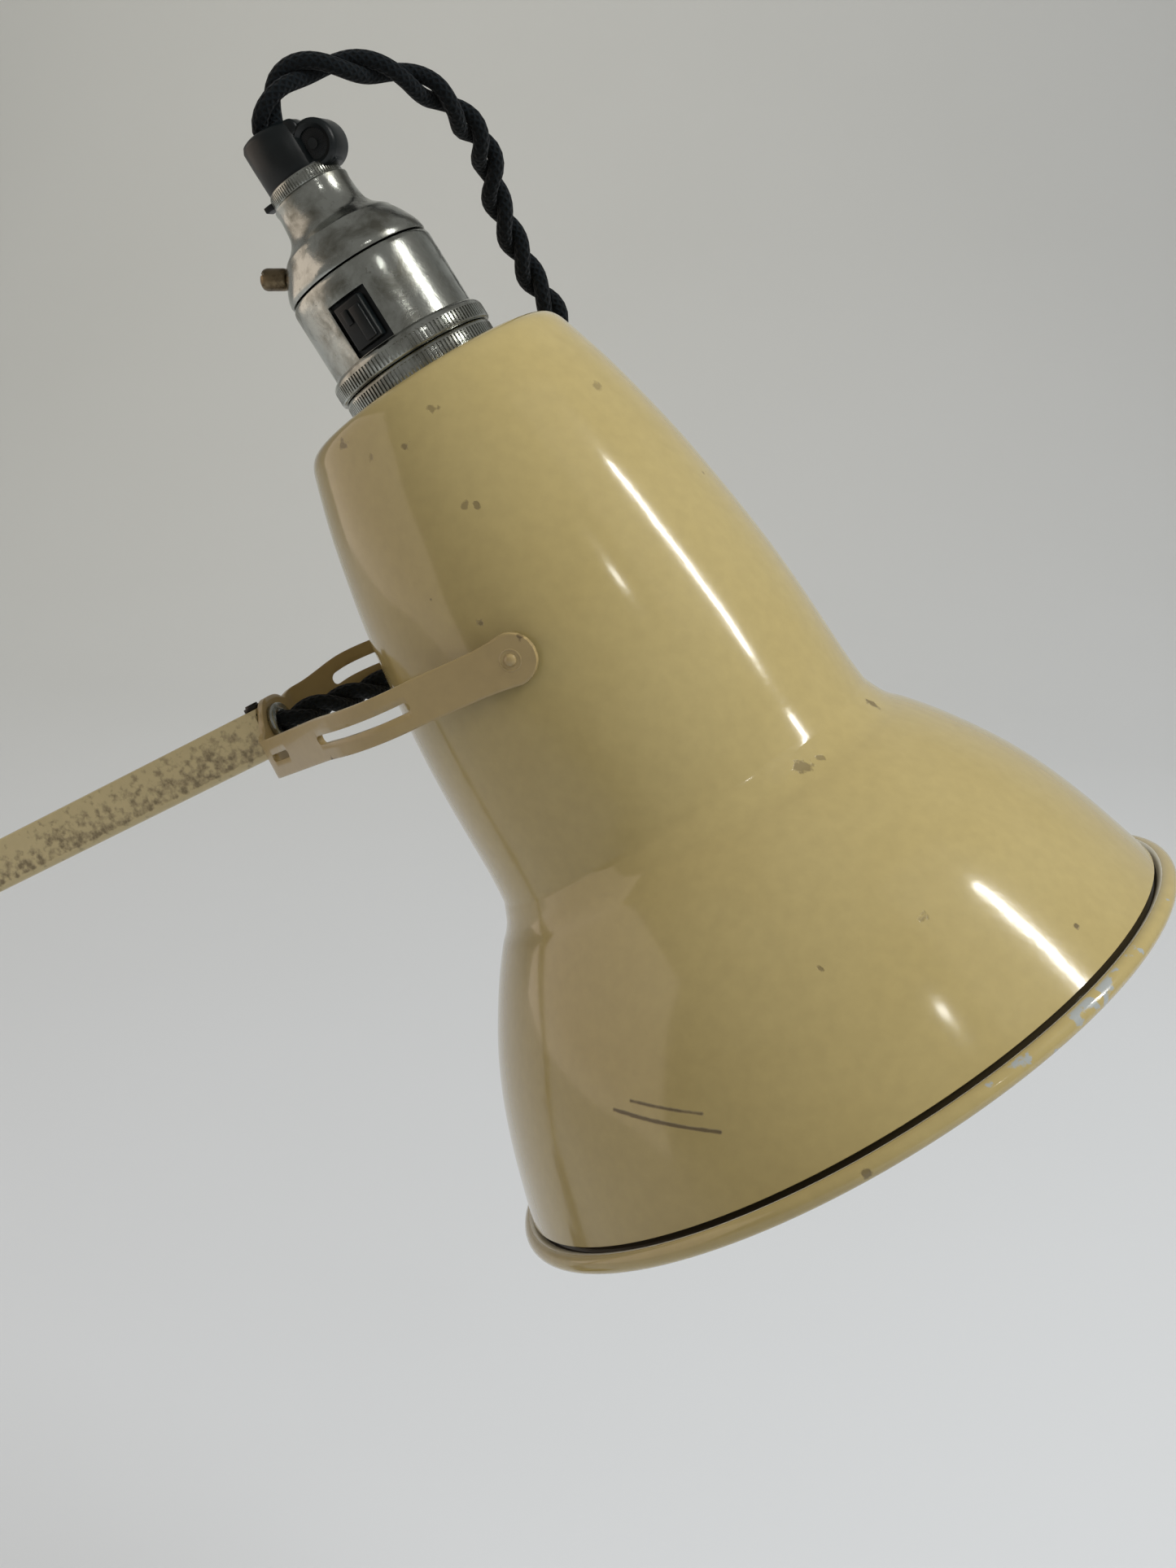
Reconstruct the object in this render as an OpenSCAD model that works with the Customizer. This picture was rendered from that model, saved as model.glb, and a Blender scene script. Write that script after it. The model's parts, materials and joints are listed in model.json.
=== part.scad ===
// Balanced-arm desk lamp: stepped square base, three-spring lower arm, square-tube
// upper arm, slotted U-fork and a waisted spun shade on a switched bayonet lampholder.
// +Z up, origin at the centre of the base's underside, arms in the XZ plane, head at +X.

/* [Base] */
// Side of the bottom step of the base
base_side = 150; // [130:2:180]
// Side of the middle step
step_side = 118; // [100:2:126]
// Side of the top step
top_side = 86; // [70:2:96]
// Radius of the collar around the spindle
collar_r = 17; // [14:0.5:20]

/* [Arms] */
// Pivot to pivot length of the lower arm
lower_len = 240; // [220:5:260]
// Backward lean of the lower arm from upright
lower_lean = 15; // [5:1:20]
// Elbow to fork length of the upper arm
upper_len = 330; // [300:5:360]
// Rise of the upper arm above level
upper_rise = 28; // [15:1:40]
// Side of the square upper tube
tube_w = 11.4; // [10:0.1:12]
// Side of the square lower tube
lower_w = 12; // [11.9:0.1:13]
// Wall of both tubes
wall = 1; // [0.8:0.1:1.4]
// Distance from the elbow pivot to the link pivot
link_r = 30; // [26:1:34]

/* [Head] */
// Tilt of the shade from straight down
head_tilt = 33.3; // [20:0.1:45]
// Distance from the fork's web to the tilt pins
fork_reach = 76.2; // [74:0.1:80]
// Drop of the tilt pins below the arm's axis
fork_drop = 7.3; // [5:0.1:9]
// Distance of the tilt pins below the shade's top
pin_depth = 60.7; // [56:0.1:64]
// Thickness of the spun shade
shade_wall = 1; // [0.8:0.1:1.5]

/* [Flex] */
// Diameter of the twisted flex
flex_d = 5; // [4.6:0.1:5.4]

/* [Hidden] */
$fn = 48;

// Colours
enamel = [0.60, 0.54, 0.40];
plated = [0.50, 0.49, 0.44];
black = [0.07, 0.08, 0.09];

// Base heights
felt_h = 2;
step_h = [12, 10, 9];
base_top = felt_h + step_h[0] + step_h[1] + step_h[2];
collar_top = base_top + 14;
recess_h = 12;
web_z = collar_top + 3;
web_t = 6;
spindle_r = 6;
spindle_bore = 3.2;
fit = 0.05;
gap = 0.3;

// Pivots, with the lower arm's frame at pivot_z and the upper arm's at its elbow
pivot_z = 92;
pivot_r = 3;
pin_r = 2;
cheek_in = 20;
cheek_t = 3;
anchor_x = 14;
bar_z = 185;
spring_y = 14;
coil_r = 5.5;
wire_r = 1;
crank_front = 10;
tail_turn = 180 + upper_rise - lower_lean;
crank_in = 6.3;
crank_t = 1.6;
link_in = 8.2;
link_t = 2;
elbow_in = lower_w / 2;
elbow_t = 2;

// Head frame: origin on the shade's top plane, +Z towards the cord cap
elbow_p = [-lower_len * sin(lower_lean), 0, pivot_z + lower_len * cos(lower_lean)];
arm_x = [cos(upper_rise), 0, sin(upper_rise)];
arm_z = [-sin(upper_rise), 0, cos(upper_rise)];
pin_p = elbow_p + (upper_len + fork_reach) * arm_x - fork_drop * arm_z;
head_p = pin_p + pin_depth * [-sin(head_tilt), 0, cos(head_tilt)];
ear_in = 44;
strap_t = 1.4;
web_top = 14.3;

// Shade outline as [depth below the top, outer radius]
shade_line = [
    [0, 27.6], [1, 28.6], [4, 30.1], [10, 32], [20, 34.6], [30, 37], [40, 39.1], [50, 40.7],
    [60, 42.1], [70, 43.2], [80, 43.9], [95, 44.4], [104, 45.4], [108, 46.8], [113, 51.1],
    [120, 56.5], [130, 63], [140, 68.1], [150, 72], [160, 75.2], [168, 77.5]
];
bead_r = 2;
bead_mid = [168.5, 78];

// Flex routes, in the frame of the whole lamp
head_route = [
    [231, 0, 480], [235, 2, 481.8], [239, 8, 482.8], [243.6, 15, 483.9], [247.5, 21.5, 485.5],
    [250.5, 27, 490], [254.5, 35, 497.5], [261, 45, 508], [269, 51.5, 521], [276, 53, 536], [281, 53, 551],
    [281.5, 50.5, 567], [277, 47, 576.5], [273, 42, 587], [271, 38, 595], [270.5, 33, 603.5],
    [267, 25, 611], [260, 17, 617], [251.5, 9, 619], [243.5, 3, 618.5], [238.5, 0, 616],
    [236, -1.8, 611], [235.3, -1.5, 606.5]
];
elbow_route = [
    [-49.4, 0, 290], [-43, 0, 292], [-36, 0, 294.5], [-28, 0, 299.5], [-22.5, 0, 307],
    [-21.5, 0, 315.5], [-24, 0, 323], [-27.6, 0, 329], [-30.5, 0, 333.5], [-32.5, 0, 337]
];
base_route = [
    [0, 0, 57], [0, 0, 60], [-2, 0, 66], [-7, 0, 73], [-14, 0, 81], [-19, 0, 91],
    [-22, 0, 101], [-21.5, 0, 110], [-18, 0, 116.6], [-13, 0, 119.2], [-9.5, 0, 120.4]
];
lead_route = [
    [-73, 0, 8], [-80, 0, 7.6], [-88, 0, 5.6], [-96, 0, 3.6], [-104, 0, 2.7], [-114, -2, 2.6],
    [-124, -6, 2.6], [-136, -11.5, 2.6]
];
tail_route = [
    [-180.4, 17, 13], [-180.2, 26, 12], [-179, 35, 10.6], [-176.5, 44, 9.8], [-173, 53, 9.8],
    [-170, 60, 10.5], [-169, 65, 11]
];
coil_mid = [-146, 17, 0];
coil_in = 21;
coil_out = 37;
coil_h = 15.6;
flex_hole_r = 3.3;
plug_p = [-169, 63, 0];

// ---- Frames -------------------------------------------------------------------
module lower_frame() {
    translate([0, 0, pivot_z]) rotate([0, -lower_lean, 0]) children();
}
module upper_frame() {
    translate(elbow_p) rotate([0, -upper_rise, 0]) children();
}
module fork_frame() {
    translate(pin_p) rotate([0, -upper_rise, 0]) children();
}
module head_frame() {
    translate(head_p) rotate([0, -head_tilt, 0]) children();
}
// A cylinder along Y, from y0 to y1, centred on [x, z]
module across(r, y0, y1, x = 0, z = 0) {
    translate([x, y0, z]) rotate([-90, 0, 0]) cylinder(r = r, h = y1 - y0);
}
module both_sides() {
    children();
    mirror([0, 1, 0]) children();
}

// ---- Swept flex ---------------------------------------------------------------
function unit(v) = v / norm(v);
function heading(p, i) = unit(p[min(i + 1, len(p) - 1)] - p[max(i - 1, 0)]);
function side(t) = unit(cross(t, abs(t[1]) > 0.9 ? [0, 0, 1] : [0, 1, 0]));
function ring(p, i, r, n) = let (t = heading(p, i), a = side(t), b = cross(t, a))
    [for (k = [0:n - 1]) p[i] + r * (cos(360 * k / n) * a + sin(360 * k / n) * b)];
function mix(a, b, c, d, t) = 0.5 * ((2 * b) + (c - a) * t + (2 * a - 5 * b + 4 * c - d) * t * t
    + (3 * b - a - 3 * c + d) * t * t * t);
function smooth(p, n) = [for (i = [0:len(p) - 2]) for (k = [0:n - 1])
    mix(p[max(i - 1, 0)], p[i], p[i + 1], p[min(i + 2, len(p) - 1)], k / n), p[len(p) - 1]];
module sweep(p, r, n = 10) {
    last = len(p) - 1;
    points = [for (i = [0:last]) each ring(p, i, r, n)];
    sides = [for (i = [0:last - 1]) for (k = [0:n - 1])
        [i * n + k, i * n + (k + 1) % n, (i + 1) * n + (k + 1) % n, (i + 1) * n + k]];
    ends = [[for (k = [n - 1:-1:0]) k], [for (k = [0:n - 1]) last * n + k]];
    polyhedron(points, concat(ends, sides), convexity = 6);
}

// ---- Base ---------------------------------------------------------------------
module step(w, z, h) {
    translate([-w / 2, -w / 2, z]) cube([w, w, h]);
}
module base_felt() {
    color("darkgreen") step(base_side - 4, 0, felt_h);
}
module base_casting() {
    color(enamel) difference() {
        union() {
            step(base_side, felt_h, step_h[0]);
            step(step_side, felt_h + step_h[0], step_h[1]);
            step(top_side, felt_h + step_h[0] + step_h[1], step_h[2]);
        }
        translate([0, 0, felt_h - 1]) cylinder(r = 16, h = recess_h + 1);
        cylinder(r = spindle_r + 1, h = base_top + 1);
        translate([-base_side / 2 - 1, 0, 8]) rotate([0, 90, 0]) cylinder(r = 4, h = base_side / 2 - 10);
    }
}
module base_collar() {
    color(enamel) difference() {
        translate([0, 0, base_top]) cylinder(r = collar_r, h = collar_top - base_top);
        cylinder(r = spindle_r + fit, h = collar_top + 1);
    }
}
module lead_bush() {
    color(black) translate([-base_side / 2 - 3, 0, 8]) rotate([0, 90, 0]) difference() {
        union() {
            cylinder(r = 6, h = 3);
            cylinder(r = 4, h = 9);
        }
        translate([0, 0, -1]) cylinder(r = flex_d / 2 + 0.2, h = 12);
    }
}

// ---- Swivel bracket -----------------------------------------------------------
module spindle() {
    color(plated) difference() {
        translate([0, 0, 4]) cylinder(r = spindle_r, h = web_z - 4 + web_t);
        cylinder(r = spindle_bore, h = web_z + web_t + 1);
    }
}
module spindle_nut() {
    color(plated) translate([0, 0, 5]) difference() {
        cylinder(r = 11, h = felt_h + recess_h - 5 - gap, $fn = 6);
        translate([0, 0, -1]) cylinder(r = spindle_r, h = recess_h);
    }
}
module thrust_washer() {
    color("peru") difference() {
        translate([0, 0, collar_top + gap]) cylinder(r = 13, h = web_z - collar_top - gap);
        cylinder(r = spindle_r, h = web_z + 1);
    }
}
module bracket() {
    color(enamel) difference() {
        union() {
            translate([-14, -cheek_in - cheek_t, web_z]) cube([28, 2 * (cheek_in + cheek_t), web_t]);
            both_sides() {
                translate([-14, cheek_in, web_z]) cube([28, cheek_t, pivot_z - web_z]);
                across(14, cheek_in, cheek_in + cheek_t, 0, pivot_z);
                across(6, cheek_in, cheek_in + cheek_t, anchor_x - 0.5, pivot_z + 3.6);
            }
        }
        cylinder(r = spindle_r, h = web_z + web_t + 1);
        across(pivot_r + fit, -30, 30, 0, pivot_z);
        lower_frame() across(pin_r, -30, 30, anchor_x);
    }
}
module anchor_pins() {
    color(plated) lower_frame() both_sides() {
        across(pin_r, 11, cheek_in + cheek_t, anchor_x);
        across(3.2, cheek_in + cheek_t, cheek_in + cheek_t + 1.5, anchor_x);
        across(3.2, 10, 11, anchor_x);
    }
}
module lower_pivot_bolt() {
    color(plated) {
        across(pivot_r, -cheek_in - cheek_t, cheek_in + cheek_t + 9, 0, pivot_z);
        across(6, -cheek_in - cheek_t - 3.5, -cheek_in - cheek_t, 0, pivot_z);
    }
}
// A round knurled nut with a stepped collar, starting at y0
module knurled_nut(y0) {
    difference() {
        union() {
            across(5, y0, y0 + 2.5);
            across(8, y0 + 2.5, y0 + 8);
        }
        across(pivot_r, y0 - 1, y0 + 9);
    }
}
module lower_pivot_nut() {
    color(plated) translate([0, 0, pivot_z]) knurled_nut(cheek_in + cheek_t);
}

// ---- Lower arm ----------------------------------------------------------------
module square_tube(w, x0, x1) {
    difference() {
        translate([x0, -w / 2, -w / 2]) cube([x1 - x0, w, w]);
        translate([x0 - 1, -w / 2 + wall, -w / 2 + wall]) cube([x1 - x0 + 2, w - 2 * wall, w - 2 * wall]);
    }
}
module lower_tube() {
    color(enamel) lower_frame() difference() {
        rotate([0, -90, 0]) square_tube(lower_w, -12, lower_len - 15);
        across(pivot_r + fit, -9, 9);
        across(pin_r, -9, 9, 0, lower_len - 40);
        translate([-9, 0, 30]) rotate([0, 90, 0]) cylinder(r = flex_hole_r, h = 9);
        translate([0, 0, lower_len - 36]) rotate([0, 90, 0]) cylinder(r = flex_hole_r, h = 9);
    }
}
module elbow_cheeks() {
    color(enamel) lower_frame() difference() {
        both_sides() {
            across(10, elbow_in, elbow_in + elbow_t, 0, lower_len);
            translate([-7, elbow_in, lower_len - 46]) cube([14, elbow_t, 46]);
        }
        across(pivot_r, -20, 20, 0, lower_len);
        across(pin_r, -20, 20, 0, lower_len - 40);
    }
}
module elbow_bolt() {
    color(plated) lower_frame() translate([0, 0, lower_len]) {
        across(pivot_r, -elbow_in - elbow_t, elbow_in + elbow_t + 9);
        across(6, -elbow_in - elbow_t - 3.5, -elbow_in - elbow_t);
        translate([0, 0, -40]) both_sides() {
            across(pin_r, elbow_in - 2, elbow_in + elbow_t);
            across(3.4, elbow_in + elbow_t, elbow_in + elbow_t + 1.5);
        }
    }
}
module elbow_nut() {
    color(plated) lower_frame() translate([0, 0, lower_len]) knurled_nut(elbow_in + elbow_t);
}
module spring_lug() {
    color(enamel) lower_frame() difference() {
        union() {
            translate([lower_w / 2, -3, bar_z - 12]) cube([2, 6, 26]);
            both_sides() {
                translate([lower_w / 2 + 2, 2, bar_z - 5]) cube([anchor_x - lower_w / 2 - 2, 1.5, 10]);
                across(5, 2, 3.5, anchor_x, bar_z);
            }
        }
        across(pin_r, -9, 9, anchor_x, bar_z);
    }
}
module spring_bar() {
    color(plated) lower_frame() {
        across(pin_r, -spring_y - 5, spring_y + 5, anchor_x, bar_z);
        both_sides() across(3.2, spring_y + 5, spring_y + 6.5, anchor_x, bar_z);
    }
}

// ---- Springs, as closed sleeves with wire hooks -----------------------------------
module eye(z, wr = wire_r) {
    translate([anchor_x, 0, z]) rotate([90, 0, 0])
        rotate_extrude($fn = 24) translate([pin_r + gap + wr, 0]) circle(r = wr, $fn = 16);
}
module spring(y, z0, z1) {
    lower_frame() translate([0, y, 0]) {
        translate([anchor_x, 0, z0 + 30]) difference() {
            cylinder(r = coil_r, h = z1 - z0 - 85);
            translate([0, 0, -1]) cylinder(r = coil_r - 2 * wire_r, h = z1 - z0 - 83);
        }
        for (end = [[z0 + 30, z0 + 32], [z1 - 57, z1 - 55]])
            translate([anchor_x, 0, end[0]]) cylinder(r = coil_r, h = 2);
        translate([anchor_x, 0, z0 + 2 * pin_r]) cylinder(r = wire_r, h = 27, $fn = 16);
        translate([anchor_x, 0, z1 - 56]) cylinder(r = wire_r, h = 56 - 2 * pin_r, $fn = 16);
        eye(z0);
        eye(z1);
    }
}
module outer_spring_left() {
    color("silver") spring(-spring_y, 0, bar_z);
}
module outer_spring_right() {
    color("silver") spring(spring_y, 0, bar_z);
}
module middle_spring() {
    color("silver") spring(0, anchor_x * sin(crank_front), bar_z);
}

// ---- Crank and link -------------------------------------------------------------
// A flat strap from the pivot outwards, turned by a about Y
module strap_arm(a, reach, r) {
    rotate([0, -a, 0]) union() {
        translate([0, 0, -r]) cube([reach, crank_t, 2 * r]);
        across(r, 0, crank_t, reach);
    }
}
module crank() {
    color(enamel) lower_frame() both_sides() translate([0, crank_in, 0]) difference() {
        union() {
            across(8, 0, crank_t);
            strap_arm(tail_turn, link_r, 5);
            strap_arm(crank_front, anchor_x, 4);
        }
        across(pivot_r + fit, -1, 3);
        rotate([0, -tail_turn, 0]) across(pin_r, -1, 3, link_r);
        rotate([0, -crank_front, 0]) across(pin_r, -1, 3, anchor_x);
    }
}
module crank_pins() {
    color(plated) lower_frame() {
        rotate([0, -tail_turn, 0]) {
            across(pin_r, -link_in - link_t - 0.3, link_in + link_t + 0.3, link_r);
            both_sides() across(3.2, link_in + link_t + 0.3, link_in + link_t + 1.8, link_r);
        }
        rotate([0, -crank_front, 0]) across(pin_r, -crank_in - crank_t, crank_in + crank_t, anchor_x);
    }
}
module link_bars() {
    tail = link_r * [cos(tail_turn), 0, sin(tail_turn)];
    color(enamel) lower_frame() translate(tail) both_sides() translate([0, link_in, 0]) difference() {
        union() {
            translate([-4, 0, 0]) cube([8, link_t, lower_len]);
            across(4, 0, link_t);
            across(4, 0, link_t, 0, lower_len);
        }
        across(pin_r + fit, -1, 3);
        across(pin_r + fit, -1, 3, 0, lower_len);
    }
}

// ---- Upper arm ------------------------------------------------------------------
module upper_tube() {
    color(enamel) upper_frame() difference() {
        square_tube(tube_w, -link_r - 7, upper_len);
        across(pivot_r + fit, -9, 9);
        across(pin_r, -9, 9, -link_r);
        translate([32, 0, -9]) cylinder(r = flex_hole_r, h = 9);
        translate([upper_len - 2.6, 0, 0]) cylinder(r = 1.2, h = 9);
    }
}
module link_top_pin() {
    color(plated) upper_frame() {
        across(pin_r, -link_in - link_t - 0.3, link_in + link_t + 0.3, -link_r);
        both_sides() across(3.2, link_in + link_t + 0.3, link_in + link_t + 1.8, -link_r);
    }
}
module tube_end_bush() {
    color(plated) upper_frame() difference() {
        translate([upper_len - 12, -tube_w / 2 + wall, -tube_w / 2 + wall])
            cube([11.7, tube_w - 2 * wall, tube_w - 2 * wall]);
        translate([upper_len - 13, 0, 0]) rotate([0, 90, 0]) cylinder(r = 4 + fit, h = 14);
        translate([upper_len - 2.6, 0, 0]) cylinder(r = 1.2, h = 9);
    }
}

// ---- Fork -----------------------------------------------------------------------
function bow(c, r, a0, a1, n) = [for (k = [0:n]) let (a = a0 + (a1 - a0) * k / n) c + r * [-sin(a), cos(a)]];
// One edge of the strap's plan, t outside its inner face
function strap_edge(t) = concat(
    [[4, ear_in + t]],
    bow([-28, ear_in - 24.3], 24.3 + t, 0, 42, 6),
    bow([-fork_reach + 7, 8.2], 5.3 + t, 42, 90, 4)
);
module strap_plan() {
    outer = strap_edge(strap_t);
    inner = strap_edge(0);
    half = concat(outer, [for (i = [len(inner) - 1:-1:0]) inner[i]]);
    polygon(half);
    mirror([0, 1]) polygon(half);
    translate([-fork_reach + 7 - 5.3 - strap_t, -8.3]) square([strap_t, 16.6]);
}
module fork_strap() {
    color(enamel) fork_frame() difference() {
        union() {
            translate([0, 0, -4.5]) linear_extrude(height = 9) strap_plan();
            both_sides() across(5.2, ear_in, ear_in + strap_t);
            translate([-fork_reach + 0.3, -6.5, 0]) cube([strap_t, 13, web_top]);
        }
        across(1.55, -50, 50);
        translate([-52, -60, -1]) cube([28, 120, 2]);
        translate([-fork_reach - 1, 0, fork_drop]) rotate([0, 90, 0]) cylinder(r = 4 + fit, h = 4);
    }
}
module fork_ferrule() {
    color(plated) upper_frame() translate([upper_len, 0, 0]) rotate([0, 90, 0]) difference() {
        union() {
            translate([0, 0, -11]) cylinder(r = 4, h = 11 + 2);
            translate([0, 0, 1.7]) cylinder(r = 5, h = 1.5);
        }
        translate([0, 0, -12]) cylinder(r = 2.9, h = 17);
    }
}
module bush_screw() {
    color(black) upper_frame() translate([upper_len - 2.6, 0, tube_w / 2]) {
        translate([0, 0, -1.6]) cylinder(r = 1.2, h = 1.7);
        cylinder(r = 2.1, h = 0.9);
        translate([0, 0, 0.9]) cylinder(r = 1.5, h = 0.5);
    }
}

// ---- Head -----------------------------------------------------------------------
module shade() {
    inner = [for (i = [len(shade_line) - 1:-1:0]) shade_line[i] - [0, shade_wall]];
    outline = [for (p = concat(shade_line, inner)) [p[1], -p[0]]];
    color(enamel) head_frame() difference() {
        union() {
            rotate_extrude($fn = 72) polygon(outline);
            rotate_extrude($fn = 72) translate([13.3, -1.2]) square([14, 1.2]);
            rotate_extrude($fn = 72) translate([bead_mid[1], -bead_mid[0]]) circle(r = bead_r, $fn = 20);
        }
        across(1.5, -50, 50, 0, -pin_depth);
    }
}
module pivot_pins() {
    color(plated) fork_frame() both_sides() {
        across(1.5, 40, ear_in + strap_t + 0.3);
        across(2.4, ear_in + strap_t + 0.3, ear_in + strap_t + 1);
        across(3, 38.5, 40.5);
    }
}
module pivot_washers() {
    color(plated) fork_frame() both_sides() difference() {
        across(3.6, 42.6, ear_in - gap);
        across(1.5, 40, 46);
    }
}
module band(r0, r1, z0, z1) {
    difference() {
        translate([0, 0, z0]) cylinder(r = r1, h = z1 - z0);
        translate([0, 0, z0 - 1]) cylinder(r = r0, h = z1 - z0 + 2);
    }
}
module shade_ring() {
    color(plated) head_frame() band(13, 17.5, -6, -1.2);
}
module lower_band() {
    color(plated) head_frame() band(13, 17.4, 0, 4.2);
}
module upper_band() {
    color(plated) head_frame() band(13, 17.9, 4.6, 8.9);
}
module holder_barrel() {
    color(plated) head_frame() union() {
        band(11.4, 13, -22, 8.9);
        band(12.2, 14.2, 4.2, 4.6);
    }
}
module holder_insulator() {
    color(black) head_frame() difference() {
        translate([0, 0, 0.5]) cylinder(r = 11.2, h = 15);
        for (x = [-4.5, 4.5]) translate([x, 0, 0]) cylinder(r = 1.8, h = 8);
    }
}
module contact_plungers() {
    color("gold") head_frame() for (x = [-4.5, 4.5]) translate([x, 0, -1.6]) cylinder(r = 1.7, h = 9);
}
window = [7.3, 10.8];
window_z = 14.4;
module window_cut(grow) {
    translate([-window[0] / 2 - grow, -18, window_z - window[1] / 2 - grow])
        cube([window[0] + 2 * grow, 6, window[1] + 2 * grow]);
}
module holder_body() {
    color(plated) head_frame() difference() {
        band(15.2, 16.4, 8.9, 24.7);
        window_cut(0);
    }
}
dome_line = [[14.6, 24.7], [16, 24.7], [15.6, 26], [14.8, 28.6], [13.8, 31], [12.7, 32.3],
    [11, 33.6], [9.4, 35], [8.8, 36.4], [8.4, 42], [7.2, 42], [7.6, 36], [11.6, 31.3], [13.6, 27.6]];
module holder_dome() {
    color(plated) head_frame() rotate_extrude() polygon(dome_line);
}
module neck_ring() {
    color(plated) head_frame() band(5, 8.1, 42, 45.3);
}
cap_top = 57;
module cord_cap() {
    color(black) head_frame() difference() {
        union() {
            translate([0, 0, 45.3]) cylinder(r = 7.6, h = 8);
            translate([-1, 0, 50]) cylinder(r = 5.2, h = cap_top - 50);
            translate([6.4, 0, 45.3]) cylinder(r = 4.6, h = 9.5);
            translate([-9.8, -2.5, 45.3]) cube([4, 5, 2]);
        }
        translate([0, -1.5, 44]) cylinder(r = 2.8, h = 14);
    }
}
module earth_screw() {
    color("goldenrod") head_frame() translate([-12.9, 0, 29.8]) rotate([0, -57, 0]) {
        cylinder(r = 1.4, h = 3);
        translate([0, 0, 1.8]) cylinder(r = 2.35, h = 5.7);
    }
}
module switch_plate() {
    color(black) head_frame() difference() {
        translate([-window[0] / 2 + 0.1, -16.3, window_z - window[1] / 2 + 0.1])
            cube([window[0] - 0.2, 1, window[1] - 0.2]);
        translate([-3.1, -18, window_z - 4.7]) cube([6.2, 6, 9.4]);
    }
}
module switch_rocker() {
    color(black) head_frame() translate([0, -15.4, window_z]) rotate([0, 0, -8]) union() {
        translate([-2.6, -1.9, -4.4]) cube([5.2, 2.6, 8.8]);
        translate([0, 0, -4.4]) cylinder(r = 1.4, h = 8.8);
    }
}

// ---- Bulb -----------------------------------------------------------------------
cap_z = -24;
module bulb_cap() {
    color("silver") head_frame() difference() {
        translate([0, 0, cap_z]) cylinder(r = 11, h = -cap_z - 1.8);
        translate([0, 0, cap_z - 1]) cylinder(r = 10, h = -cap_z - 4);
    }
}
module bulb_shell(r) {
    translate([0, 0, -74]) sphere(r = r);
    translate([0, 0, -52]) cylinder(r1 = r - 10.6, r2 = r - 20.5, h = 22);
    translate([0, 0, cap_z - 6.5]) cylinder(r = r - 20.5, h = 8.5);
}
module bulb_glass() {
    color([0.9, 0.9, 0.9, 0.4]) head_frame() difference() {
        bulb_shell(30);
        bulb_shell(29);
    }
}

// ---- Flex, lead and plug ----------------------------------------------------------
module flex_head() {
    color(black) sweep(smooth(head_route, 2), flex_d / 2);
}
module flex_in_upper() {
    color(black) upper_frame() translate([40, 0, 0]) rotate([0, 90, 0])
        cylinder(r = flex_d / 2, h = upper_len - 40);
}
module flex_elbow() {
    color(black) sweep(smooth(elbow_route, 2), flex_d / 2);
}
module flex_in_lower() {
    color(black) lower_frame() translate([0, 0, 34]) cylinder(r = flex_d / 2, h = lower_len - 74);
}
module flex_base() {
    color(black) sweep(smooth(base_route, 2), flex_d / 2);
}
module mains_lead() {
    color(black) {
        sweep(smooth(lead_route, 2), flex_d / 2);
        sweep(smooth(tail_route, 2), flex_d / 2);
    }
}
module mains_coil() {
    color(black) translate(coil_mid) difference() {
        cylinder(r = coil_out, h = coil_h);
        translate([0, 0, -1]) cylinder(r = coil_in, h = coil_h + 2);
    }
}
module plug_body() {
    color(black) translate(plug_p) union() {
        translate([0, 20, 0]) cylinder(r = 19, h = 22);
        translate([-8, 0, 3]) cube([16, 12, 16]);
    }
}
module plug_pins() {
    color("goldenrod") translate(plug_p + [0, 20, 22]) {
        translate([0, 8, 0]) cylinder(r = 3.5, h = 20);
        for (x = [-9.5, 9.5]) translate([x, -8, 0]) cylinder(r = 2.5, h = 16);
    }
}
module plug_screw() {
    color("goldenrod") translate(plug_p + [0, 20, 22]) cylinder(r = 2.6, h = 1);
}

base_felt();
base_casting();
base_collar();
lead_bush();
spindle();
spindle_nut();
thrust_washer();
bracket();
anchor_pins();
lower_pivot_bolt();
lower_pivot_nut();
lower_tube();
elbow_cheeks();
elbow_bolt();
elbow_nut();
spring_lug();
spring_bar();
outer_spring_left();
outer_spring_right();
middle_spring();
crank();
crank_pins();
link_bars();
upper_tube();
link_top_pin();
tube_end_bush();
fork_strap();
fork_ferrule();
bush_screw();
shade();
pivot_pins();
pivot_washers();
shade_ring();
lower_band();
upper_band();
holder_barrel();
holder_insulator();
contact_plungers();
holder_body();
holder_dome();
neck_ring();
cord_cap();
earth_screw();
switch_plate();
switch_rocker();
bulb_cap();
bulb_glass();
flex_head();
flex_in_upper();
flex_elbow();
flex_in_lower();
flex_base();
mains_lead();
mains_coil();
plug_body();
plug_pins();
plug_screw();
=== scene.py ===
import json
from math import atan2, cos, hypot, pi, radians, sin, sqrt

import bpy
from mathutils import Matrix, Vector


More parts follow.
